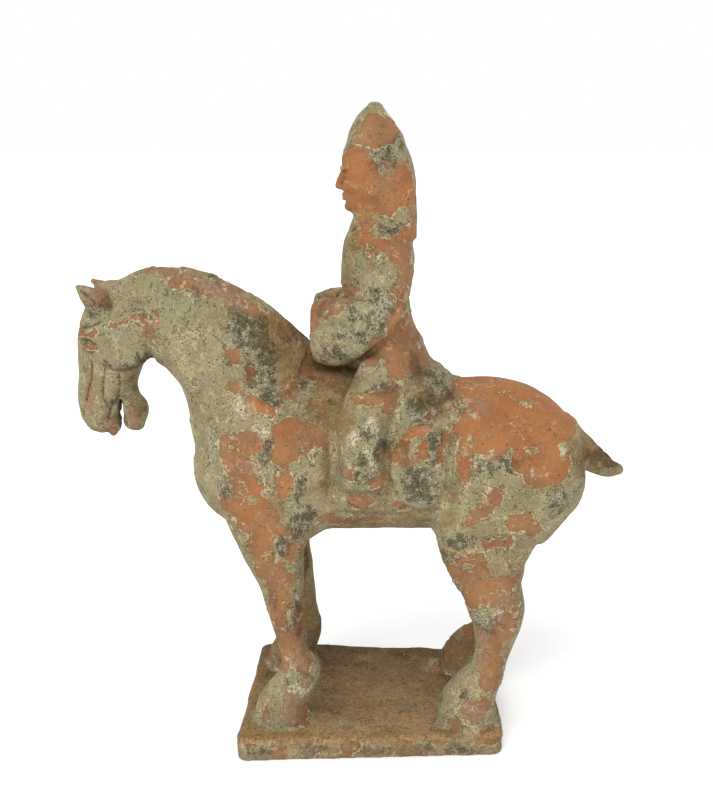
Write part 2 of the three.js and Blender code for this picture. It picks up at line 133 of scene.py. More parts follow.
def noise(P, size, seed=0):
    """smooth value noise, -1..1, with features of about size mm"""
    q = P / size + 1000.0
    f = np.floor(q)
    t = q - f
    t = t * t * t * (t * (t * 6 - 15) + 10)
    i, j, k = (f[:, n].astype(np.int64) for n in range(3))
    out = 0.0
    for a in (0, 1):
        for b in (0, 1):
            for c in (0, 1):
                w = (t[:, 0] if a else 1 - t[:, 0]) * (t[:, 1] if b else 1 - t[:, 1]) * (t[:, 2] if c else 1 - t[:, 2])
                out = out + w * _lattice(i + a, j + b, k + c, seed)
    return out


def fbm(P, size, octaves=4, seed=0, gain=0.5):
    out, amp, total = 0.0, 1.0, 0.0
    for o in range(octaves):
        out = out + amp * noise(P, size / (2.03 ** o), seed + 17 * o)
        total += amp
        amp *= gain
    return out / total * 1.6


def smoothstep(a, b, x):
    t = np.clip((x - a) / (b - a), 0, 1)
    return t * t * (3 - 2 * t)


# ------------------------------------------------------------------ clay primitives: distance in mm
def catmull(stations, count):
    """uniform Catmull-Rom through the stations (ends extrapolated)"""
    S = np.array(stations, float)
    S = np.vstack([2 * S[0] - S[1], S, 2 * S[-1] - S[-2]])
    n = len(S) - 3
    u = np.linspace(0, n, count)
    k = np.minimum(u.astype(int), n - 1)
    t = (u - k)[:, None]
    p0, p1, p2, p3 = S[k], S[k + 1], S[k + 2], S[k + 3]
    m1, m2 = (p2 - p0) / 2, (p3 - p1) / 2
    pos = (2 * t**3 - 3 * t**2 + 1) * p1 + (t**3 - 2 * t**2 + t) * m1 + (-2 * t**3 + 3 * t**2) * p2 + (t**3 - t**2) * m2
    return pos


class Loft:
    def __init__(self, stations, caps=(0.5, 0.5), blend=4.0, power=2.0, step=2.0):
        S = np.array([tuple(q) if len(q) == 7 else tuple(q) + (q[3],) for q in stations], float)
        length = np.linalg.norm(np.diff(S[:, :3], axis=0), axis=1).sum()
        count = max(12, int(length / step))
        D = catmull(S, count)
        self.c = D[:, :3]
        T = np.gradient(self.c, axis=0)
        self.ds = np.linalg.norm(T, axis=1)
        self.T = T / self.ds[:, None]
        across = np.array([0, 1.0, 0]) - self.T * self.T[:, 1:2]
        self.s = across / np.linalg.norm(across, axis=1)[:, None]
        self.n = np.cross(self.s, self.T)
        self.a, self.w, self.e = np.maximum(D[:, 3], 0.8), np.maximum(D[:, 4], 0.8), D[:, 5]
        self.b = np.maximum(D[:, 6], 0.8)
        self.caps, self.blend, self.power = caps, blend, power
        r = np.maximum(self.a, self.w).max() * 1.1
        self.lo, self.hi = self.c.min(0) - r, self.c.max(0) + r

    def __call__(self, P):
        out = np.empty(len(P))
        for i in range(0, len(P), 60000):
            p = P[i:i + 60000]
            d2 = ((p[:, None, :] - self.c[None]) ** 2).sum(2)
            j = d2.argmin(1)
            q = ((p - self.c[j]) * self.T[j]).sum(1)
            t = np.clip(j + q / self.ds[j], 0, len(self.c) - 1.0001)
            k = t.astype(int)
            f = (t - k)[:, None]

            def mix(A):
                return A[k] * (1 - f) + A[k + 1] * f if A.ndim > 1 else A[k] * (1 - f[:, 0]) + A[k + 1] * f[:, 0]
            c, n, s, T = mix(self.c), mix(self.n), mix(self.s), mix(self.T)
            a, b, w, e = mix(self.a), mix(self.b), mix(self.w), mix(self.e)
            r = p - c
            u, v, z = (r * n).sum(1), (r * s).sum(1), (r * T).sum(1)
            a = np.where(u > 0, a, b)
            w = w * np.clip(1 - e * np.clip(u / a, -1.2, 1.2), 0.2, 2)
            small = np.minimum(a, w)
            end = np.where(z < 0, self.caps[0], self.caps[1]) * small + 0.3
            outside = (t <= 1e-6) | (t >= len(self.c) - 1.001)
            Z = np.where(outside, z / end, 0)
            U, V = u / a, v / w
            if self.power == 2.0:
                k0 = np.sqrt(U * U + V * V + Z * Z)
            else:
                g = self.power
                k0 = (np.abs(U) ** g + np.abs(V) ** g + np.abs(Z) ** g) ** (1 / g)
            k1 = np.sqrt((U / a) ** 2 + (V / w) ** 2 + (Z / end) ** 2)
            scale = np.where(k0 < 0.25, small, k0 / np.maximum(k1, 1e-9))
            out[i:i + 60000] = (k0 - 1) * np.minimum(scale, 60)
        return out


class Lump:
    """ellipsoid turned by pitch (about Y) then yaw (about Z)"""
    def __init__(self, x, y, z, rx, ry, rz, pitch=0, yaw=0, blend=4.0):
        p, w = math.radians(pitch), math.radians(yaw)
        Ry = np.array([[math.cos(p), 0, math.sin(p)], [0, 1, 0], [-math.sin(p), 0, math.cos(p)]])
        Rz = np.array([[math.cos(w), -math.sin(w), 0], [math.sin(w), math.cos(w), 0], [0, 0, 1]])
        self.R = Rz @ Ry
        self.c, self.r, self.blend = np.array([x, y, z], float), np.array([rx, ry, rz], float), blend
        m = self.r.max()
        self.lo, self.hi = self.c - m, self.c + m

    def __call__(self, P):
        q = (P - self.c) @ self.R
        k0 = np.linalg.norm(q / self.r, axis=1)
        k1 = np.linalg.norm(q / self.r ** 2, axis=1)
        return np.where(k0 < 0.25, (k0 - 1) * self.r.min(), (k0 - 1) * k0 / np.maximum(k1, 1e-9))


class Slab:
    """irregular rounded slab with a slightly dished top and worn edges"""
    blend = 5.0

    def __init__(self):
        self.lo, self.hi = np.array([-80, -63, -3.0]), np.array([80, 63, 17.0])
        c = np.array([(x, y) for x, y, _ in SLAB_CORNERS], float)
        self.planes = []
        for i in range(4):
            a, b = c[i], c[(i + 1) % 4]
            t = (b - a) / np.linalg.norm(b - a)
            n = np.array([t[1], -t[0]])
            self.planes.append((n, n @ a))

    def __call__(self, P):
        r = 7.0
        wave = 0.5 * noise(P, 22, 5) + 0.35 * noise(P, 9, 6)
        d = np.stack([P[:, :2] @ n - o for n, o in self.planes], 1) + r + wave[:, None]
        side = np.linalg.norm(np.maximum(d, 0), axis=1) + np.minimum(d.max(1), 0) - r
        rim = np.clip(-side, 0, 40)
        top = SLAB_THICK - 1.5 * smoothstep(2, 16, rim) + 0.45 * noise(P, 26, 9) + 0.35 * noise(P, 11, 3)
        top = top + 1.2 * np.exp(-((P[:, 0] + 70) ** 2 + (P[:, 1] + 50) ** 2) / 160)
        up = (P[:, 2] - top)
        down = -P[:, 2]
        e = 2.0
        q = np.stack([side + e, up + e], 1)
        body = np.linalg.norm(np.maximum(q, 0), axis=1) + np.minimum(q.max(1), 0) - e
        return np.maximum(body, down)


def smin(a, b, k):
    h = np.maximum(k - np.abs(a - b), 0) / k
    return np.minimum(a, b) - h * h * k * 0.25


MARGIN = 12.0


class Group:
    """soft union of primitives"""
    def __init__(self, parts, blend=4.0):
        self.parts, self.blend = parts, blend
        self.lo = np.min([p.lo for p in parts], axis=0)
        self.hi = np.max([p.hi for p in parts], axis=0)

    def __call__(self, P):
        D = np.full(len(P), 40.0)
        for p in self.parts:
            near = np.flatnonzero(((P > p.lo - MARGIN) & (P < p.hi + MARGIN)).all(1))
            if len(near):
                D[near] = smin(D[near], p(P[near]), p.blend)
        return D


class Stroke:
    """a groove (depth > 0) or ridge (depth < 0) along a line of (x, z) points, on one side or both, or of (x, y, z)"""
    def __init__(self, points, radius, depth, side=-1, y0=4.0):
        self.p = np.array(points, float)
        self.flat = self.p.shape[1] == 2
        self.radius, self.depth, self.side, self.y0 = radius, depth, side, y0
        m = 2.6 * radius
        if self.flat:
            lo, hi = self.p.min(0) - m, self.p.max(0) + m
            self.lo, self.hi = np.array([lo[0], -90, lo[1]]), np.array([hi[0], 90, hi[1]])
            if side < 0:
                self.hi[1] = -y0
            elif side > 0:
                self.lo[1] = y0
        else:
            self.lo, self.hi = self.p.min(0) - m, self.p.max(0) + m

    def __call__(self, P):
        Q = P[:, [0, 2]] if self.flat else P
        best = np.full(len(P), 1e9)
        for a, b in zip(self.p[:-1], self.p[1:]):
            ab = b - a
            t = np.clip(((Q - a) @ ab) / (ab @ ab), 0, 1)
            best = np.minimum(best, ((Q - a - t[:, None] * ab) ** 2).sum(1))
        out = self.depth * np.exp(-best / self.radius ** 2)
        if self.flat:
            out = out * smoothstep(self.y0 - 3, self.y0 + 3, np.abs(P[:, 1]))
        return out


class Patch:
    """clay laid on (height > 0) or taken off inside ellipses (x, z, rx, rz, turn) seen from the side"""
    def __init__(self, ellipses, height, edge=1.6, side=0, y0=10.0):
        self.e, self.height, self.edge, self.side, self.y0 = ellipses, height, edge, side, y0
        lo = np.min([(x - max(r, q), z - max(r, q)) for x, z, r, q, t in ellipses], axis=0) - 4
        hi = np.max([(x + max(r, q), z + max(r, q)) for x, z, r, q, t in ellipses], axis=0) + 4
        self.lo, self.hi = np.array([lo[0], -90, lo[1]]), np.array([hi[0], 90, hi[1]])
        if side < 0:
            self.hi[1] = -y0
        elif side > 0:
            self.lo[1] = y0

    def __call__(self, P):
        d = np.full(len(P), 1e3)
        for x, z, rx, rz, turn in self.e:
            c, s = math.cos(math.radians(turn)), math.sin(math.radians(turn))
            u, v = P[:, 0] - x, P[:, 2] - z
            u, v = u * c + v * s, -u * s + v * c
            k0 = np.sqrt((u / rx) ** 2 + (v / rz) ** 2)
            k1 = np.sqrt((u / rx ** 2) ** 2 + (v / rz ** 2) ** 2)
            d = smin(d, (k0 - 1) * np.where(k0 < 0.2, min(rx, rz), k0 / np.maximum(k1, 1e-9)), 3.0)
        t = smoothstep(self.edge, -self.edge, d)
        return -self.height * t * smoothstep(self.y0 - 3, self.y0 + 3, np.abs(P[:, 1]))


# ------------------------------------------------------------------ the figure
near = -LEG_SPREAD


def far_leg(stations, dx):
    return shifted(mirrored(stations), dx, LEG_SPREAD)


def both(make):
    return [make(-1), make(1)]


horse = Group([
    Loft(TRUNK, (0.35, 0.5), 6), Loft(NECK, (0.2, 0.3), 7), Lump(-75.8, 0, 153.4, 26.5, 28, 31.0, blend=7),
    Loft(shifted(FORELEG, 0, near), (0.3, 0.1), 8), Loft(far_leg(FORELEG, FAR_FORE), (0.3, 0.1), 8),
    Loft(shifted(HINDLEG, 0, near), (0.3, 0.1), 8), Loft(far_leg(HINDLEG, FAR_HIND), (0.3, 0.1), 8),
    *both(lambda s: Lump(96.8, s * 18, 153.4, 20.4, 16.5, 22.6, blend=7)),             # buttocks
    *both(lambda s: Lump(-40, s * 22, 130.5, 12, 11, 10, blend=8)),              # elbows
    Loft(TAIL, (0.3, 0.7), 4),
    Loft(HEAD, (0.5, 0.35), 5),
    *both(lambda s: Lump(-138, s * 9.6, 228, 14.4, 8.8, 13.8, blend=1.6)),     # round cheek
    Loft(JAW, (0.3, 0.7), 2.0),
    Lump(-150.4, 0, 180.8, 4.0, 6.0, 8.2, 4, blend=2.5),                       # upper lip
    Lump(-149.5, 0, 256.5, 7, 8, 6.5, blend=4),                                # poll
    *both(lambda s: Lump(-158.4, s * 10.0, 227.6, 4.5, 3.6, 2.7, -6, blend=0.8)),   # eyes
    *both(lambda s: Lump(-158.5, s * 9.4, 235.0, 7.5, 3.9, 3.0, -8, blend=3.0)),    # brow bones
    *both(lambda s: Lump(-163, s * 5.6, 188, 4.2, 4.0, 5.2, blend=3.0)),       # nostril wings
    Loft([(-150.4, -8.6, 249.6, 8.2, 4.0, 0), (-156.2, -10.4, 255.4, 6.2, 3.0, 0), (-160.4, -11.6, 259.4, 3.6, 2.2, 0),
          (-162.8, -12.2, 261.7, 1.5, 1.2, 0)], (0.3, 0.8), blend=1.6, step=1),
    Loft([(-148.9, 8.6, 250.2, 8.2, 4.0, 0), (-154.6, 10.4, 256, 6.0, 3.0, 0), (-158.8, 11.6, 259.6, 3.6, 2.2, 0),
          (-161.4, 12.2, 261.8, 1.5, 1.2, 0)], (0.3, 0.8), blend=1.6, step=1),
], blend=4)

saddle = Group([
    Lump(31.5, 0, 204, 14.5, 27, 13, 40, blend=8.0),                             # cantle and soil
    *both(lambda s: Lump(20, s * CORE_Y, 192, 24, 20, 20, blend=8)),           # seat
    Lump(-12, 0, 198, 26, 27, 20, 12, blend=9.0),                             # pommel
    *both(lambda s: Lump(22, s * 25, 181, 19, 12.5, 22, blend=8)),             # skirt running into the flap
    *both(lambda s: Lump(8, s * 32.5, 183, 10, 7, 22, blend=6)),               # strip behind the leg
], blend=5)

robe = Group([
    Loft(TORSO, (0.1, 0.4), 4),
    Lump(-12, 0, 236, 17, 18, 20, blend=6),
    *[Loft(m(RIDER_LEG), (0.4, 0.5), 7) for m in (list, mirrored)],
    *both(lambda s: Lump(-3.5, s * 40.6, 160.4, 11.5, 5.6, 4.6, -6, blend=2.0)),
    *[Loft(m(UPPER_ARM), (0.6, 0.6), 4) for m in (list, mirrored)],
], blend=3)

sleeves = Group([Loft(m(SLEEVE), (0.5, 0.2), 3, power=3.6) for m in (list, mirrored)], blend=1.6)

rider_head = Group([
    Loft(FACE, (0.3, 0.4), 3),
    Loft([(FRONT + 0.8, 0, FACE_TOP - THIRD, 1.6, 1.6, 0), (FRONT - 1.1, 0, FACE_TOP - 1.5 * THIRD, 2.1, 1.9, 0),
          (FRONT - 1.8, 0, FACE_TOP - 1.84 * THIRD, 2.5, EYE / 2, 0)], (0.4, 0.5), 1.0, step=1),        # nose
    *both(lambda s: Lump(FRONT + 0.4, s * 2.5, FACE_TOP - 1.9 * THIRD, 2.2, 1.4, 1.4, blend=0.8)),    # nostril wings
    *both(lambda s: Lump(FRONT + 0.6, s * EYE, EYE_Z + 3.6, 2.1, 4.0, 1.3, 0, s * -14, blend=1.4)),  # brows
    *both(lambda s: Lump(FRONT + 2.3, s * EYE, EYE_Z, 2.7, EYE / 2, 1.7, 0, s * -18, blend=0.4)),    # eyes
    *both(lambda s: Lump(FRONT + 4.4, s * 7.4, FACE_TOP - 1.75 * THIRD, 3.2, 3.6, 3.6, blend=3)),    # cheekbones
    Lump(FRONT + 0.8, 0, FACE_TOP - 2.25 * THIRD, 1.9, 0.75 * EYE, 1.1, blend=0.5),              # lips
    Lump(FRONT + 1.1, 0, FACE_TOP - 2.44 * THIRD, 1.9, 0.64 * EYE, 1.2, blend=0.5),
    Lump(FRONT + 4.0, 0, FACE_TOP - 2.84 * THIRD, 3.0, 4.0, 2.6, blend=2.0),                       # chin
], blend=2.2)
hood = Loft(HOOD, (0.5, 0.3), 1.4)
slab = Slab()

RAISED = [
    Patch([(25.2, 169.5, 15.2, 25.5, 4)], 2.6, 1.3, 0, 16),                      # round saddle flap
    Patch([(0, 170, 19, 29, 0), (8, 156, 15, 14, 0), (-4, 190, 16, 14, 0)], 1.6, 1.4, 0, 16),   # saddle cloth
    Patch([(-4.5, 148.5, 8.6, 4.6, 0)], 1.4, 1.2, -1, 20),                     # lump on its lower edge
]
STROKES = [
    # horse's face and cheek
    Stroke([(-157.8, 220.5), (-159.2, 209), (-163.4, 196)], 0.95, 1.5, 0, 3),
    Stroke([(-149.8, 217.6), (-152.1, 206.8), (-152.9, 198.3), (-150.6, 194.1), (-147.7, 196.2)], 1.0, 1.0, 0, 3),
    Stroke([(-142.3, 213.5), (-143.0, 205.2), (-144.8, 199.7)], 1.0, 0.9, 0, 3),
    Stroke([(-146.7, 214.7), (-148.2, 205.6), (-148.9, 198.9)], 2.4, -0.7, 0, 3),
    Stroke([(-145.0, 198.5), (-149.5, 192), (-151.2, 186)], 1.1, 1.6, 0, 2),
    Stroke([(-150.1, 220.5), (-146.0, 215.9), (-139.7, 214.4), (-132.2, 216.8), (-126.4, 221.9)], 1.5, 1.3, 0, 5),
    Stroke([(-165.2, 237.7), (-156.4, 239.5), (-150.7, 242.4)], 0.9, 1.0, 0, 5),
    Stroke([(-144.9, 195.7), (-145.3, 191.5), (-145.6, 187.2)], 1.2, 3.0, 0, -3),
    Stroke([(-163.2, 229.2), (-160.6, 224.9), (-155.8, 225.0)], 0.8, 0.6, 0, 5),
    Stroke([(-162.4, 231.6), (-158.4, 231.9), (-154.2, 229.4)], 0.9, 1.0, 0, 5),
    Stroke([(-158.4, 247), (-152.6, 250.0), (-147, 255)], 1.6, 0.6, 0, 5),
    Stroke([(-153.6, 253), (-160.6, 259.4)], 1.5, 1.3, 0, 9),
    Stroke([(-166.2, 190.4), (-164.8, 188.0)], 1.3, 1.3, 0, 3),
    # between rider's leg and saddle flap
    Stroke([(14, 206), (10.6, 196), (7.6, 182), (6.8, 165), (8.6, 146)], 2.9, 0.8, 0, 20),
    # hollow before the rider's foot
    Stroke([(-22.5, 180), (-22.0, 168), (-22.0, 156)], 4.0, 2.6, 0, 20),
    # lower lip of the saddle cloth
    Stroke([(-22, 139.4), (0, 138.6), (22, 139.4), (33, 143)], 2.0, 0.8, 0, 20),
    # rear of the saddle flap
    Stroke([(43.5, 188), (45, 168), (41.5, 152), (34, 143.5)], 2.6, 1.5, 0, 20),
    # brim of the hood, its cloth's front edge, seam between chest and arm
    Stroke([(-13.6, 335.6), (-7.3, 336.9), (-0.9, 334), (6, 328.4), (14, 330)], 2.0, -0.5, 0, 6),
    Stroke([(-13.0, 332.4), (-7.3, 333.6), (-1.9, 331.2)], 1.5, 0.45, 0, 6),
    Stroke([(-4.6, 329), (-3.0, 315), (-3.6, 303), (-2.2, 292), (4, 285.6), (12, 284)], 1.8, 0.6, 0, 8),
    Stroke([(-7.5, 285), (-9.5, 274), (-9.0, 264)], 2.2, 0.8, 0, 16),
    # folds on the chest and skirt
    Stroke([(-17, 0, 292), (-19, -5, 284), (-20, -9, 272)], 2.0, 0.7),
    Stroke([(-17, 0, 292), (-19, 5, 284), (-20, 9, 272)], 2.0, 0.7),
    # face: creases over and under the eyes, closed lids, mouth, under the lip
    *[Stroke([(FRONT - 0.2, q * 2.8, EYE_Z + h), (FRONT + 0.6, q * EYE, EYE_Z + h + e), (FRONT + 2.6, q * 8.2, EYE_Z + h)],
             rr, dd) for q in (-1, 1) for h, e, rr, dd in ((1.8, 0.4, 0.9, 0.9), (-2.0, -0.3, 1.0, 0.8), (-0.3, -0.4, 0.55, 0.5))],
    Stroke([(FRONT + 1.0, -4.0, FACE_TOP - 2.34 * THIRD), (FRONT - 0.6, 0, FACE_TOP - 2.33 * THIRD),
            (FRONT + 1.0, 4.0, FACE_TOP - 2.34 * THIRD)], 0.7, 1.0),
    Stroke([(FRONT + 1.4, -3, FACE_TOP - 2.6 * THIRD), (FRONT + 1.0, 3, FACE_TOP - 2.6 * THIRD)], 1.1, 0.6),
]


def field(P):
    """signed distance to the clay surface in mm, negative inside"""
    D = np.full(len(P), 40.0)
    for g, k in ((slab, 5.0), (horse, 2.5), (saddle, 6.0), (robe, 4.0), (rider_head, 3.0), (hood, 1.2), (sleeves, 1.5)):
        near_ = np.flatnonzero(((P > g.lo - MARGIN) & (P < g.hi + MARGIN)).all(1))
        if len(near_):
            D[near_] = smin(D[near_], g(P[near_]), k)
    for s in RAISED + STROKES:
        near_ = np.flatnonzero(((P > s.lo) & (P < s.hi)).all(1) & (np.abs(D) < 8))
        if len(near_):
            D[near_] += s(P[near_])
    return np.maximum(D, -P[:, 2])


# ------------------------------------------------------------------ surface: dual grid over the field
def surface(lo, hi, h):
    block = 8
    n = (np.ceil((hi - lo) / (h * block)).astype(int)) * block + 1
    V = np.full(n, 30.0, np.float32)
    nb = (n - 1) // block
    bx, by, bz = np.meshgrid(*[np.arange(k) for k in nb], indexing="ij")
    centres = lo + (np.stack([bx, by, bz], -1).reshape(-1, 3) + 0.5) * block * h
    dc = field(centres)
    half = block * h * 0.8661
    sign = dc.reshape(nb)
    for a in range(nb[0]):
        V[a * block:(a + 1) * block + 1, :, :] = np.repeat(np.repeat(
            np.pad(sign[a], ((0, 1), (0, 1)), mode="edge"), block, 0), block, 1)[None, :n[1], :n[2]]
    hot = np.flatnonzero(np.abs(dc) < half * 1.35 + 3)
    loc = np.stack(np.meshgrid(*[np.arange(block + 1)] * 3, indexing="ij"), -1).reshape(-1, 3)
    ids = np.stack([bx, by, bz], -1).reshape(-1, 3)[hot]
    mask = np.zeros(n, bool)
    for b in ids:
        o = b * block
        mask[o[0]:o[0] + block + 1, o[1]:o[1] + block + 1, o[2]:o[2] + block + 1] = True
    idx = np.argwhere(mask)
    V[mask] = field(lo + idx * h).astype(np.float32)
    inside = V < 0
    # cells with mixed corners
    c = inside[:-1, :-1, :-1].astype(np.int8)
    total = np.zeros_like(c)
    for a in (0, 1):
        for b in (0, 1):
            for d in (0, 1):
                total += inside[a:n[0] - 1 + a, b:n[1] - 1 + b, d:n[2] - 1 + d]
    active = (total > 0) & (total < 8)
    cell = np.argwhere(active)
    number = np.full(active.shape, -1, np.int64)
    number[active] = np.arange(len(cell))
    corners = np.array([(a, b, d) for a in (0, 1) for b in (0, 1) for d in (0, 1)])
    val = np.stack([V[cell[:, 0] + a, cell[:, 1] + b, cell[:, 2] + d] for a, b, d in corners], 1)
    pos, count = np.zeros((len(cell), 3)), np.zeros(len(cell))
    for p in range(8):
        for q in range(p + 1, 8):
            if np.abs(corners[p] - corners[q]).sum() != 1:
                continue
            cross = (val[:, p] < 0) != (val[:, q] < 0)
            t = val[cross, p] / (val[cross, p] - val[cross, q])
            pos[cross] += corners[p] + t[:, None] * (corners[q] - corners[p])
            count[cross] += 1
    verts = lo + (cell + pos / count[:, None]) * h
    quads = []
    for axis in range(3):
        o1, o2 = [k for k in range(3) if k != axis]
        sl0, sl1 = [slice(None)] * 3, [slice(None)] * 3
        sl0[axis], sl1[axis] = slice(0, -1), slice(1, None)
        A, B = inside[tuple(sl0)], inside[tuple(sl1)]
        e = np.argwhere(A != B)
        e = e[(e[:, o1] > 0) & (e[:, o2] > 0) & (e[:, o1] < n[o1] - 1) & (e[:, o2] < n[o2] - 1)]
        flip = A[tuple(e.T)]

        def cid(d1, d2):
            f = e.copy()
            f[:, o1] -= d1
            f[:, o2] -= d2
            return number[tuple(f.T)]
        quad = np.stack([cid(1, 1), cid(0, 1), cid(0, 0), cid(1, 0)], 1)
        if axis == 1:
            flip = ~flip
        quad[~flip] = quad[~flip][:, ::-1]
        quads.append(quad)
    return verts, np.vstack(quads)

